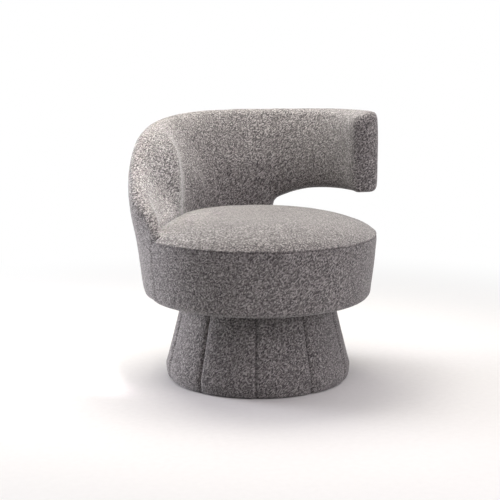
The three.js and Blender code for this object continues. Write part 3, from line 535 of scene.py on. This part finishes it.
def make_cushion(wrap_piece):
    """The crowned top panel of the seat on its foam, drawn in under the rim for the seam."""
    angles = np.arange(0, FULL_TURN, CUSHION_TURN)
    depsgraph = bpy.context.evaluated_depsgraph_get()
    surface = BVHTree.FromObject(wrap_piece, depsgraph)
    reach = np.array([cushion_reach(surface, angle) for angle in angles])
    covered = reach < SEAM_RADIUS - RIM_LIP
    reach = np.where(covered, np.minimum(reach + CUSHION_TUCK, SEAM_RADIUS), SEAM_RADIUS)
    share = 1 - (1 - np.linspace(0, 1, CROWN_RINGS)) ** CROWN_CROWDING
    low = SEAM_HEIGHT - CUSHION_DEPTH
    rows = []
    for angle, edge, shut in zip(angles, reach, covered):
        radius = share * (edge - (0 if shut else RIM_LIP))
        height = crown_height(radius)
        if shut:
            gap = np.maximum(edge - CUSHION_TUCK - radius, 0)
            height = height - CUSHION_DIP * np.exp(-gap / CUSHION_DIP_WIDTH)
        turn_in = bezier(
            (radius[-1], height[-1]),
            (edge + RIM_LIP / 4, height[-1] - RIM_LIP / 2),
            (edge - RIM_LIP / 2, height[-1] - RIM_DROP_SHARE * RIM_LIP),
            ROLL_STEPS,
        )[1:]
        under = np.array([
            (edge - SEAM_INSET - RIM_LIP / 2, turn_in[-1, 1] - RIM_LIP / 6),
            (edge - UNDER_INSET, low),
            (0.0, low),
        ])
        outline = np.vstack([np.stack([radius, height], -1), turn_in, under])
        rows.append(polar(outline[:, 0], angle, outline[:, 1]))
    return close_up(grid_mesh("seat_cushion", np.array(rows), round_rows=True))


def make_seat_side():
    """The side panel round the front of the seat, folded in under its lower corner."""
    end = WRAP_CUT_ANGLE + SIDE_OVERLAP_ANGLE + FULL_TURN
    angles = np.linspace(WRAP_TIP_FLUSH_ANGLE, end, SEAT_SIDE_COLUMNS)
    quarter = np.linspace(0, math.pi / 2, SEAT_CORNER_ROWS)
    corner = SEAT_BOTTOM + CORNER_HEIGHT * (1 - np.cos(quarter))
    wall = np.linspace(corner[-1], SEAM_HEIGHT - SEAM_GAP, SEAT_SIDE_ROWS)
    heights = np.concatenate([corner, wall[1:]])
    outer = np.stack([seat_side_radius(heights), heights], -1)
    below = np.clip((SEAM_HEIGHT - SEAM_GAP - outer[:, 1]) / SEAM_SHOULDER, 0, 1)
    outer[:, 0] -= SEAM_INSET * (1 - np.sqrt(1 - (1 - below) ** 2))
    inner_low = SEAT_BOTTOM + CLOTH
    outline = np.vstack([
        [(SEAT_FOOT_RADIUS - SEAT_LIP, SEAT_BOTTOM)],
        outer,
        [
            (SEAM_RADIUS - SIDE_THICKNESS, SEAM_HEIGHT - SEAM_GAP),
            (SIDE_RADIUS - SIDE_THICKNESS, SEAT_BOTTOM + CORNER_HEIGHT),
            (SEAT_FOOT_RADIUS, inner_low),
            (SEAT_FOOT_RADIUS - SEAT_LIP, inner_low),
        ],
    ])
    rows = [polar(outline[:, 0], angle, outline[:, 1]) for angle in angles]
    return close_up(grid_mesh("seat_side", np.array(rows), round_columns=True))


def base_radius(height):
    down = np.clip((BASE_SWELL_HEIGHT - height) / (BASE_SWELL_HEIGHT - base_low.z), 0, 1)
    low = BASE_FOOT_RADIUS + BASE_SWELL * np.sqrt(1 - down * down)
    share = (height - BASE_SWELL_HEIGHT) / (base_high.z - CLOTH - BASE_SWELL_HEIGHT)
    wide = BASE_FOOT_RADIUS + BASE_SWELL
    return np.where(height <= BASE_SWELL_HEIGHT, low, wide + share * (BASE_TOP_RADIUS - wide))


def make_base_cover():
    """The sewn cover of the base: ten panels, their seams, and a hem round the foot."""
    panel = FULL_TURN / BASE_PANELS
    share = np.linspace(-1, 1, PANEL_COLUMNS + 1)[:-1]
    crowded = np.sign(share) * (1 - (1 - np.abs(share)) ** BASE_CROWDING)
    angles = np.concatenate([
        BASE_SEAM_ANGLE + panel * (k + 0.5 + crowded / 2) for k in range(BASE_PANELS)
    ])
    top = base_high.z
    shoulder = top - CLOTH - BASE_TOP_ROLL
    quarter = np.linspace(0, math.pi / 2, BASE_SWELL_ROWS)
    swell = base_low.z + (BASE_SWELL_HEIGHT - base_low.z) * (1 - np.cos(quarter))
    heights = np.concatenate([swell, np.linspace(swell[-1], shoulder, BASE_SIDE_ROWS)[1:]])
    side = np.stack([base_radius(heights), heights, np.ones(len(heights))], -1)
    start_dip, corner_dip, end_dip = BASE_SHOULDER_DIP_SHARES
    roll = bezier(
        (side[-1, 0], side[-1, 1], start_dip),
        (BASE_TOP_RADIUS, top, corner_dip),
        (BASE_TOP_RADIUS - BASE_TOP_ROLL, top, end_dip),
        ROLL_STEPS,
    )[1:]
    lip_inner = PAD_RADIUS + CLOTH
    under = top - CLOTH
    outline = np.vstack([
        [(lip_inner, base_low.z, 0)],
        side,
        roll,
        [
            (BASE_TOP_RADIUS - BASE_LIP, top, 0),
            (BASE_TOP_RADIUS - BASE_LIP, under, 0),
            (BASE_TOP_RADIUS - BASE_TOP_ROLL, under, 1),
            (base_radius(shoulder) - BASE_THICKNESS, shoulder, 1),
            (base_radius(BASE_SWELL_HEIGHT) - BASE_THICKNESS, BASE_SWELL_HEIGHT, 1),
            (base_radius(BASE_THICKNESS) - CLOTH, BASE_THICKNESS, 0),
            (lip_inner, base_low.z + CLOTH, 0),
        ],
    ])
    radius, height, dip = outline.T
    hem = BASE_HEM_GROOVE * np.exp(-((height - BASE_HEM_HEIGHT) / BASE_HEM_HALF_WIDTH) ** 2)
    outside = np.arange(len(outline)) <= len(side)
    hem = np.where(outside, hem, 0)
    stitches = 1 - STITCH_DEPTH_SHARE * (1 + np.sin(2 * math.pi * height / STITCH_LENGTH)) / 2
    above_tail = smooth_step(height, TAIL_HEIGHT - TAIL_EDGE, TAIL_HEIGHT + TAIL_EDGE)
    tail_low = np.where(outside, 1 - above_tail, 0)
    rows = []
    for angle in angles:
        place = ((angle - BASE_SEAM_ANGLE) / panel + 0.5) % 1 - 0.5
        from_seam = abs(place) * math.radians(panel) * BASE_FOOT_RADIUS
        swell_dip = BASE_SEAM_DIP * (1 - 2 * abs(place)) ** BASE_DIP_POWER
        groove = BASE_SEAM_GROOVE * math.exp(-from_seam / BASE_SEAM_HALF_WIDTH)
        turned = (BASE_SEAM_ANGLE - angle + FULL_TURN / 2) % FULL_TURN - FULL_TURN / 2
        from_tail = math.radians(turned) * BASE_FOOT_RADIUS
        tail = smooth_step(from_tail, -TAIL_EDGE, 0) * (
            1 - smooth_step(from_tail, TAIL_WIDTH - TAIL_EDGE, TAIL_WIDTH))
        drawn = dip * (swell_dip + groove * stitches) + hem - TAIL_RISE * tail * tail_low
        rows.append(polar(radius - drawn, angle, height))
    points = np.array(rows)
    return close_up(grid_mesh("base_upholstery", points, round_rows=True, round_columns=True))


def make_disc(name, radius, low, high, edge, hole=0.0, ripple=0.0):
    """A thin round sheet of felt or cloth with soft edges and faint ripples."""
    angles = np.arange(0, FULL_TURN, DISC_TURN)
    across = np.linspace(hole, radius - edge, DISC_RINGS)
    middle = (low + high) / 2
    rows = []
    for angle in angles:
        lean = np.radians(DISC_RIPPLES * angle) + DISC_RIPPLE_LEAN * across
        wave = ripple * np.sin(lean) * np.sin(math.pi * across / radius)
        upper = np.stack([across, high + wave], -1)
        lower = np.stack([across[::-1], low + wave[::-1]], -1)
        rim_start, rim_end = (radius - edge, high), (radius - edge, low)
        rim = bezier(rim_start, (radius + edge / 2, middle), rim_end, DISC_RIM_STEPS)
        outline = np.vstack([upper, rim[1:-1], lower])
        rows.append(polar(outline[:, 0], angle, outline[:, 1]))
    return close_up(grid_mesh(name, np.array(rows), round_rows=True, round_columns=True))


def make_seat_body():
    """The whole drum of the seat with its crown, for the cloth run alone."""
    angles = np.arange(0, FULL_TURN, BODY_TURN)
    heights = np.linspace(SEAT_BOTTOM, SEAM_HEIGHT, BODY_ROWS)
    radius = np.linspace(SEAM_RADIUS, 0, BODY_ROWS)[1:]
    outline = np.vstack([
        [(0, SEAT_BOTTOM)],
        np.stack([seat_side_radius(heights), heights], -1),
        np.stack([radius, crown_height(radius)], -1),
    ])
    rows = [polar(outline[:, 0], angle, outline[:, 1]) for angle in angles]
    return close_up(grid_mesh("seat_body", np.array(rows), round_rows=True))


def make_base_body():
    """The base without its seams and lips, for the cloth run alone."""
    angles = np.arange(0, FULL_TURN, BODY_TURN)
    heights = np.linspace(base_low.z, base_high.z, BODY_ROWS)
    outline = np.vstack([
        [(0, base_low.z)],
        np.stack([base_radius(heights), heights], -1),
        [(0, base_high.z)],
    ])
    rows = [polar(outline[:, 0], angle, outline[:, 1]) for angle in angles]
    return close_up(grid_mesh("base_body", np.array(rows), round_rows=True))


# Cloth run.

# Each cover is blown up as cloth over its filling and held at its seams. A coarse body does
# the run, and its movement is then given to the fine covers.
CLOTH_GRID = 0.009
CLOTH_FRAMES = 20
CLOTH_PRESSURE = 4.0
CLOTH_HELD = 0.006
CLOTH_FREE = 0.05
CLOTH_INSET = 0.0015
CLOTH_MOST = 0.004
LEAST_WAY = 1e-9


def vertex_places(mesh, kind="co"):
    places = np.empty(3 * len(mesh.vertices))
    mesh.vertices.foreach_get(kind, places)
    return places.reshape(-1, 3)


def seam_freedom(places, seams):
    """How free each place is, from none at a seam to all of it well away from one."""
    tree = KDTree(len(seams))
    for index, seam in enumerate(seams):
        tree.insert(seam, index)
    tree.balance()
    away = np.array([tree.find(place)[2] for place in places])
    return smooth_step(away, CLOTH_HELD, CLOTH_FREE)


def swell(body, seams, covers):
    """Runs a closed body as cloth and moves the covers that lie on it."""
    scene = bpy.context.scene
    remesh = body.modifiers.new("grid", "REMESH")
    remesh.mode = "VOXEL"
    remesh.voxel_size = CLOTH_GRID
    depsgraph = bpy.context.evaluated_depsgraph_get()
    mesh = bpy.data.meshes.new_from_object(body.evaluated_get(depsgraph))
    body.modifiers.remove(remesh)
    body.data = mesh
    start = vertex_places(mesh)
    free = seam_freedom(start, seams)
    shrunk = start - CLOTH_INSET * free[:, None] * vertex_places(mesh, "normal")
    mesh.vertices.foreach_set("co", shrunk.ravel())
    mesh.update()
    held = body.vertex_groups.new(name="held")
    for index, share in enumerate(free):
        held.add([index], 1 - share, "REPLACE")
    run = body.modifiers.new("run", "CLOTH")
    run.collision_settings.use_collision = False
    run.collision_settings.use_self_collision = False
    run.point_cache.frame_start = 1
    run.point_cache.frame_end = CLOTH_FRAMES
    settings = run.settings
    settings.vertex_group_mass = "held"
    settings.use_pressure = True
    settings.uniform_pressure_force = CLOTH_PRESSURE
    settings.effector_weights.gravity = 0
    for moment in range(1, CLOTH_FRAMES + 1):
        scene.frame_set(moment)
    depsgraph = bpy.context.evaluated_depsgraph_get()
    blown = vertex_places(body.evaluated_get(depsgraph).data)
    body.modifiers.remove(run)
    scene.frame_set(1)
    way = blown - shrunk
    far = np.maximum(np.linalg.norm(way, axis=1), LEAST_WAY)[:, None]
    moved = shrunk + way * CLOTH_MOST * np.tanh(far / CLOTH_MOST) / far - start
    mesh.vertices.foreach_set("co", start.ravel())
    corners = [tuple(face.vertices) for face in mesh.polygons]
    surface = BVHTree.FromPolygons([Vector(place) for place in start], corners)
    for cover in covers:
        places = vertex_places(cover.data)
        loose = seam_freedom(places, seams)
        for index in np.flatnonzero(loose):
            near, _, face, _ = surface.find_nearest(Vector(places[index]))
            ring = corners[face]
            shares = poly_3d_calc([Vector(start[corner]) for corner in ring], near)
            for corner, share in zip(ring, shares):
                places[index] += loose[index] * share * moved[corner]
        cover.data.vertices.foreach_set("co", places.ravel())
        cover.data.update()
    bpy.data.objects.remove(body)


def copy_of(piece):
    twin = piece.copy()
    twin.data = piece.data.copy()
    bpy.context.scene.collection.objects.link(twin)
    return twin


def ring_of_seam(radius, height):
    return polar(radius, np.arange(0, FULL_TURN, CUSHION_TURN), height)


def wrap_seams():
    """The crest and the lower edge of the wrap, and both its ends."""
    points = wrap_points()
    crest = points[np.arange(len(points)), points[:, :, 2].argmax(axis=1)]
    foot = points[np.arange(len(points)), points[:, :, 2].argmin(axis=1)]
    return np.concatenate([crest, foot, points[:, 0], points[0], points[-1]])


def seat_seams():
    seam = ring_of_seam(SEAM_RADIUS, SEAM_HEIGHT)
    foot = ring_of_seam(SEAT_FOOT_RADIUS, SEAT_BOTTOM)
    return np.concatenate([seam, foot])


def base_seams():
    """The panel seams, the hem and the upper edge of the base."""
    heights = np.linspace(base_low.z, base_high.z, BODY_ROWS)
    panels = [
        polar(base_radius(heights), BASE_SEAM_ANGLE + FULL_TURN * k / BASE_PANELS, heights)
        for k in range(BASE_PANELS)
    ]
    hem = ring_of_seam(float(base_radius(BASE_HEM_HEIGHT)), BASE_HEM_HEIGHT)
    top = ring_of_seam(BASE_TOP_RADIUS, base_high.z)
    return np.concatenate([*panels, hem, top])


# Materials.


def add_node(tree, kind, sockets=None, **settings):
    """A shader node with its settings. A socket takes a value or another node's output."""
    node = tree.nodes.new(kind)
    for name, value in settings.items():
        setattr(node, name, value)
    for name, value in (sockets or {}).items():
        if isinstance(value, bpy.types.NodeSocket):
            tree.links.new(value, node.inputs[name])
        else:
            node.inputs[name].default_value = value
    return node


def new_material(name, **shader_settings):
    """An empty material with a Principled shader. Gives the material, its tree and shader."""
    material = bpy.data.materials.new(name)
    material.use_nodes = True
    tree = material.node_tree
    tree.nodes.clear()
    shader = add_node(tree, "ShaderNodeBsdfPrincipled")
    for socket, value in shader_settings.items():
        shader.inputs[socket.replace("_", " ")].default_value = value
    output = add_node(tree, "ShaderNodeOutputMaterial")
    tree.links.new(shader.outputs["BSDF"], output.inputs["Surface"])
    return material, tree, shader


def colour_ramp(tree, factor, stops):
    ramp = add_node(tree, "ShaderNodeValToRGB", {"Fac": factor})
    elements = ramp.color_ramp.elements
    while len(elements) < len(stops):
        elements.new(0.5)
    for element, (place, colour) in zip(elements, stops):
        element.position = place
        element.color = (*colour, 1)
    return ramp.outputs["Color"]


def maths(tree, operation, *values):
    node = add_node(tree, "ShaderNodeMath", operation=operation)
    for socket, value in zip(node.inputs, values):
        if isinstance(value, bpy.types.NodeSocket):
            tree.links.new(value, socket)
        else:
            socket.default_value = value
    return node.outputs["Value"]


def object_place(tree):
    return add_node(tree, "ShaderNodeTexCoord").outputs["Object"]


def stretched(tree, place, scale):
    return add_node(tree, "ShaderNodeMapping", {"Vector": place, "Scale": scale}).outputs["Vector"]


def noise(tree, place, scale, detail, roughness=0.5, distortion=0.0):
    return add_node(tree, "ShaderNodeTexNoise", {
        "Vector": place, "Scale": scale, "Detail": detail, "Roughness": roughness,
        "Distortion": distortion}).outputs["Fac"]


def from_middle(tree, value):
    return maths(tree, "SUBTRACT", value, 0.5)


def join_up(tree, shader, colour, height, strength, distance):
    """Joins a colour and the bump of a height to the shader."""
    tree.links.new(colour, shader.inputs["Base Color"])
    bump = add_node(
        tree, "ShaderNodeBump", {"Height": height, "Strength": strength, "Distance": distance})
    tree.links.new(bump.outputs["Normal"], shader.inputs["Normal"])


STRAND_TURN = (0.5, 0.7, 0.4)
STRAND_SHAPE = (0.55, 1.05, 1.05)
SWIRL_SCALE = 60
SWIRL_TURNS = 44
LOOP_SCALE = 330
LOOP_TURNS = 7.0
FIBRE_SCALE = 1300
NAP_SCALE = 7
STRAND_WEIGHT = 0.42
LOOP_WEIGHT = 1.5
YARN_SHIFT = -0.46
FIBRE_WEIGHT = 0.3
NAP_WEIGHT = 0.16
FIBRE_HEIGHT = 0.15
NUB_DEPTH = 0.0014
# Yarn colours from the low pits to the raised strands. The darkest is painted shade in the pits as
# well as the yarn's own dark tone.
DARK_YARN_AND_PIT_SHADE = (0.05, 0.047, 0.049)
YARN_MIDDLE = (0.18, 0.17, 0.17)
YARN_LIGHT = (0.475, 0.455, 0.446)
YARN_AND_PIT_SHADE_STOPS = ((0.12, DARK_YARN_AND_PIT_SHADE), (0.5, YARN_MIDDLE), (0.9, YARN_LIGHT))


def chenille():
    """Nubby cloth of short wavy strands and a pale nap, with painted shade in the dark pits
    between them.
    """
    material, tree, shader = new_material(
        "chenille", Roughness=0.95, Sheen_Weight=0.3, Sheen_Roughness=0.4)
    turned = add_node(
        tree, "ShaderNodeMapping", {"Vector": object_place(tree), "Rotation": STRAND_TURN})
    along = stretched(tree, turned.outputs["Vector"], STRAND_SHAPE)
    swirl = noise(tree, along, SWIRL_SCALE, detail=1)
    loops = noise(tree, along, LOOP_SCALE, detail=1)
    fibre = noise(tree, along, FIBRE_SCALE, detail=2, roughness=0.6)
    nap = noise(tree, along, NAP_SCALE, detail=3, roughness=0.55)
    whole_turns = maths(tree, "MULTIPLY", swirl, SWIRL_TURNS)
    turns = maths(tree, "MULTIPLY_ADD", loops, LOOP_TURNS, whole_turns)
    strand = maths(tree, "MULTIPLY_ADD", maths(tree, "SINE", turns), 0.5, 0.5)
    looped = maths(tree, "MULTIPLY_ADD", loops, LOOP_WEIGHT, YARN_SHIFT)
    yarn = maths(tree, "MULTIPLY_ADD", strand, STRAND_WEIGHT, looped)
    mixed = maths(tree, "MULTIPLY_ADD", from_middle(tree, fibre), FIBRE_WEIGHT, yarn)
    mixed = maths(tree, "MULTIPLY_ADD", from_middle(tree, nap), NAP_WEIGHT, mixed)
    height = maths(tree, "MULTIPLY_ADD", fibre, FIBRE_HEIGHT, yarn)
    # The colour follows the height of the strands, so the low pits get painted shade.
    colour = colour_ramp(tree, mixed, YARN_AND_PIT_SHADE_STOPS)
    join_up(tree, shader, colour, height, strength=0.5, distance=NUB_DEPTH)
    return material


WOOD_STOPS = ((0.3, (0.36, 0.23, 0.12)), (0.6, (0.6, 0.43, 0.25)), (0.9, (0.72, 0.56, 0.36)))
GRAIN_STRETCH = (4, 60, 60)
GRAIN_SCALE = 2
LAYER_SCALE = 110
LAYER_WEIGHT = 0.25
GRAIN_DEPTH = 0.0004


def plywood():
    """Raw birch plywood with grain and faint layers."""
    material, tree, shader = new_material("plywood", Roughness=0.62)
    place = object_place(tree)
    long_way = stretched(tree, place, GRAIN_STRETCH)
    grain = noise(tree, long_way, GRAIN_SCALE, detail=6, roughness=0.6, distortion=0.6)
    layers = add_node(
        tree, "ShaderNodeTexWave",
        {"Vector": place, "Scale": LAYER_SCALE, "Distortion": 0.4, "Detail": 1},
        wave_type="BANDS", bands_direction="Z",
    ).outputs["Fac"]
    mixed = maths(tree, "MULTIPLY_ADD", layers, LAYER_WEIGHT, grain)
    colour = colour_ramp(tree, mixed, WOOD_STOPS)
    join_up(tree, shader, colour, grain, strength=0.3, distance=GRAIN_DEPTH)
    return material


ZINC_STOPS = ((0.3, (0.4, 0.41, 0.43)), (0.7, (0.58, 0.59, 0.6)))
BRUSH_STRETCH = (30, 900, 900)
BRUSH_SCALE = 1
PATCH_SCALE = 45
ZINC_ROUGH_SPAN = 0.3
ZINC_LEAST_ROUGH = 0.22
BRUSH_DEPTH = 0.0002


def zinc_steel():
    """Zinc plated steel with fine brushing and dull patches."""
    material, tree, shader = new_material("zinc_steel", Metallic=1.0)
    place = object_place(tree)
    patches = noise(tree, place, PATCH_SCALE, detail=4)
    lines = noise(tree, stretched(tree, place, BRUSH_STRETCH), BRUSH_SCALE, detail=2)
    rough = maths(tree, "MULTIPLY_ADD", patches, ZINC_ROUGH_SPAN, ZINC_LEAST_ROUGH)
    tree.links.new(rough, shader.inputs["Roughness"])
    colour = colour_ramp(tree, patches, ZINC_STOPS)
    join_up(tree, shader, colour, lines, strength=0.15, distance=BRUSH_DEPTH)
    return material


FELT_DEPTH = 0.0006


def felt(name, dark, light, scale):
    """Pressed or non-woven fibres."""
    material, tree, shader = new_material(name, Roughness=0.97, Sheen_Weight=0.2)
    fibre = noise(tree, object_place(tree), scale, detail=5, roughness=0.7, distortion=1.2)
    colour = colour_ramp(tree, fibre, ((0.3, dark), (0.7, light)))
    join_up(tree, shader, colour, fibre, strength=0.5, distance=FELT_DEPTH)
    return material


cloth = chenille()
wood = plywood()
steel = zinc_steel()
black_felt = felt("black_felt", dark=(0.012, 0.012, 0.013), light=(0.05, 0.05, 0.052), scale=420)
dust_cloth = felt("dust_cloth", dark=(0.01, 0.01, 0.011), light=(0.035, 0.035, 0.037), scale=700)
fibre_pad = felt("fibre_pad", dark=(0.32, 0.28, 0.23), light=(0.62, 0.57, 0.5), scale=300)


def dress(piece, body, slot, material, *nodes):
    """Gives a new piece its material and its body, and hides the solids that it stands for."""
    piece.data.materials.append(material)
    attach(piece, body)
    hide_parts(*nodes)
    return piece


wrap = dress(
    make_wrap(), "seat", "cloth", cloth, "wrap_cover", "arm_foam", "back_foam", "wing_foam")
cushion = dress(make_cushion(wrap), "seat", "cloth", cloth, "seat_cover_top", "seat_foam")
seat_side = dress(make_seat_side(), "seat", "cloth", cloth, "seat_cover_side", "apron_foam")
base_cover = dress(make_base_cover(), "base", "cloth", cloth, "base_cover", "base_foam")
swell(copy_of(wrap), wrap_seams(), [wrap])
swell(make_seat_body(), seat_seams(), [cushion, seat_side])
swell(make_base_body(), base_seams(), [base_cover])

floor_pad = make_disc("floor_felt", PAD_RADIUS, pad_low.z, pad_high.z, FELT_EDGE)
dress(floor_pad, "base", "felt", black_felt, "floor_pad")
dust_sheet = make_disc(
    "dust_sheet", dust_high.x, dust_low.z, dust_high.z, DUST_EDGE, DUST_HOLE, DUST_RIPPLE)
dress(dust_sheet, "seat", "dust_cloth", dust_cloth, "seat_dust_cover")
spring_pad = make_disc(
    "spring_pad", spring_pad_high.x, spring_pad_low.z, spring_pad_high.z,
    SPRING_PAD_EDGE, ripple=SPRING_PAD_RIPPLE)
dress(spring_pad, "seat", "padding", fibre_pad, "insulator_pad")

SLOT_MATERIALS = {"plywood": wood, "steel": steel}
for part in frame["record"]["subparts"]:
    if part["material_slot"] in SLOT_MATERIALS:
        solid = frame["nodes"][part["node"]]
        solid.data.materials.clear()
        solid.data.materials.append(SLOT_MATERIALS[part["material_slot"]])

# Floor, backdrop and light.

FLOOR_HALF = 12.0
FLOOR_CORNERS = ((-1, -1), (1, -1), (1, 1), (-1, 1))
FLOOR_STOPS = ((0.2, (0.82, 0.82, 0.82)), (0.8, (0.86, 0.86, 0.86)))
FLOOR_FADE = (0.45, 2.0)
FLOOR_SPECKLE_SCALE = 60
FLOOR_DULL = (0.6, 0.6, 0.6, 1)
WHITE = (1, 1, 1, 1)
WORLD_STRENGTH = 0.02

floor_mesh = bpy.data.meshes.new("studio_floor")
floor_places = [(x * FLOOR_HALF, y * FLOOR_HALF, 0) for x, y in FLOOR_CORNERS]
floor_mesh.from_pydata(floor_places, [], [(0, 1, 2, 3)])
floor = bpy.data.objects.new("studio_floor", floor_mesh)
bpy.context.scene.collection.objects.link(floor)


def seen_directly(tree):
    """One for what the camera, gloss and glass see, zero for light on the object."""
    path = add_node(tree, "ShaderNodeLightPath")
    seen = maths(tree, "MAXIMUM", path.outputs["Is Camera Ray"], path.outputs["Is Glossy Ray"])
    return maths(tree, "MAXIMUM", seen, path.outputs["Is Transmission Ray"])


def floor_material():
    """Pale matt floor that fades to white away from the chair."""
    material, tree, shader = new_material("studio_floor", Roughness=0.9)
    place = object_place(tree)
    speckle = noise(tree, place, FLOOR_SPECKLE_SCALE, detail=3)
    tree.links.new(colour_ramp(tree, speckle, FLOOR_STOPS), shader.inputs["Base Color"])
    away = add_node(
        tree, "ShaderNodeVectorMath", {0: place}, operation="LENGTH").outputs["Value"]
    start, end = FLOOR_FADE
    fade = add_node(
        tree, "ShaderNodeMapRange",
        {"Value": away, "From Min": start, "From Max": end}, interpolation_type="SMOOTHSTEP",
    ).outputs["Result"]
    glow = add_node(tree, "ShaderNodeEmission", {"Color": WHITE, "Strength": 1})
    factor = maths(tree, "MULTIPLY", fade, seen_directly(tree))
    dull = add_node(tree, "ShaderNodeBsdfDiffuse", {"Color": FLOOR_DULL})
    matt = add_node(tree, "ShaderNodeMixShader", {
        0: seen_directly(tree), 1: dull.outputs["BSDF"], 2: shader.outputs["BSDF"]})
    mix = add_node(tree, "ShaderNodeMixShader", {
        0: factor, 1: matt.outputs["Shader"], 2: glow.outputs["Emission"]})
    output = next(node for node in tree.nodes if node.type == "OUTPUT_MATERIAL")
    tree.links.new(mix.outputs["Shader"], output.inputs["Surface"])
    return material


floor.data.materials.append(floor_material())

world = bpy.data.worlds.new("studio")
bpy.context.scene.world = world
world.use_nodes = True
sky = world.node_tree
sky.nodes.clear()
dim = add_node(sky, "ShaderNodeBackground", {"Color": WHITE, "Strength": WORLD_STRENGTH})
white = add_node(sky, "ShaderNodeBackground", {"Color": WHITE, "Strength": 1})
choice = add_node(sky, "ShaderNodeMixShader", {
    0: seen_directly(sky), 1: dim.outputs["Background"], 2: white.outputs["Background"]})
sky_output = add_node(sky, "ShaderNodeOutputWorld")
sky.links.new(choice.outputs["Shader"], sky_output.inputs["Surface"])


def aim(thing, target):
    direction = Vector(target) - thing.location
    thing.rotation_euler = direction.to_track_quat("-Z", "Y").to_euler()


def softbox(name, place, target, width, height, power, colour, spread=180):
    lamp = bpy.data.lights.new(name, "AREA")
    lamp.shape = "RECTANGLE"
    lamp.size = width
    lamp.size_y = height
    lamp.energy = power
    lamp.color = colour
    lamp.spread = math.radians(spread)
    light = bpy.data.objects.new(name, lamp)
    light.location = place
    bpy.context.scene.collection.objects.link(light)
    aim(light, target)


# Places that the lamps point at, and their colours.
MIDDLE = (0, 0, 0.4)
LEFT_ARM = (-0.28, 0.07, 0.6)
RIGHT_ARM = (0.3, 0.1, 0.6)
CREAM = (1, 0.98, 0.95)
PALE_WARM = (1, 0.98, 0.94)
WARM = (1, 0.97, 0.94)
DEEP_WARM = (1, 0.96, 0.88)
ROSE = (1, 0.93, 0.96)
DEEP_ROSE = (1, 0.9, 0.94)
PALE_COOL = (0.97, 0.95, 1)
COOL = (0.97, 0.94, 1)
NARROW = 9

# Each lamp has its place, target, width, height, power, colour and any narrow spread.
softbox("top_light", (0, 0, 2.6), MIDDLE, 2.4, 2.4, 16, PALE_WARM)
softbox("near_top_light", (-0.1, 0.5, 1.7), MIDDLE, 1.2, 1.0, 26, DEEP_WARM)
softbox("near_right_light", (0.8, 0.1, 1.5), MIDDLE, 0.8, 0.8, 3.5, WARM)
softbox("arm_light", (-0.1, -0.1, 2.3), LEFT_ARM, 0.3, 0.3, 0.35, CREAM, NARROW)
softbox("top_front_light", (0, -1.8, 2.4), MIDDLE, 2.0, 1.6, 18, DEEP_ROSE)
softbox("right_front_light", (2.0, -1.7, 1.3), MIDDLE, 1.2, 1.2, 11, ROSE)
softbox("front_light", (1.2, -1.9, 0.9), RIGHT_ARM, 0.8, 0.8, 6.5, ROSE)
softbox("left_back_light", (-2.2, 1.5, 1.0), MIDDLE, 1.2, 1.8, 33, PALE_COOL)
softbox("low_left_light", (-2.2, 1.3, 0.5), MIDDLE, 1.2, 0.9, 43, COOL)
softbox("low_right_light", (2.5, 0.3, 0.5), MIDDLE, 1.2, 0.9, 10, COOL)

# Camera at the photograph's viewpoint. Its lens and sensor are in millimetres.
CAMERA_PLACE = (-0.8201, -3.3458, 0.9792)
CAMERA_TARGET = (-0.0218, 0.0052, 0.36)
CAMERA_LENS = 89.3
CAMERA_SENSOR = 36.0

lens = bpy.data.cameras.new("camera")
lens.sensor_width = CAMERA_SENSOR
lens.lens = CAMERA_LENS
camera = bpy.data.objects.new("camera", lens)
camera.location = CAMERA_PLACE
bpy.context.scene.collection.objects.link(camera)
aim(camera, CAMERA_TARGET)
bpy.context.scene.camera = camera
bpy.context.scene.view_settings.view_transform = "Standard"

bpy.context.view_layer.update()
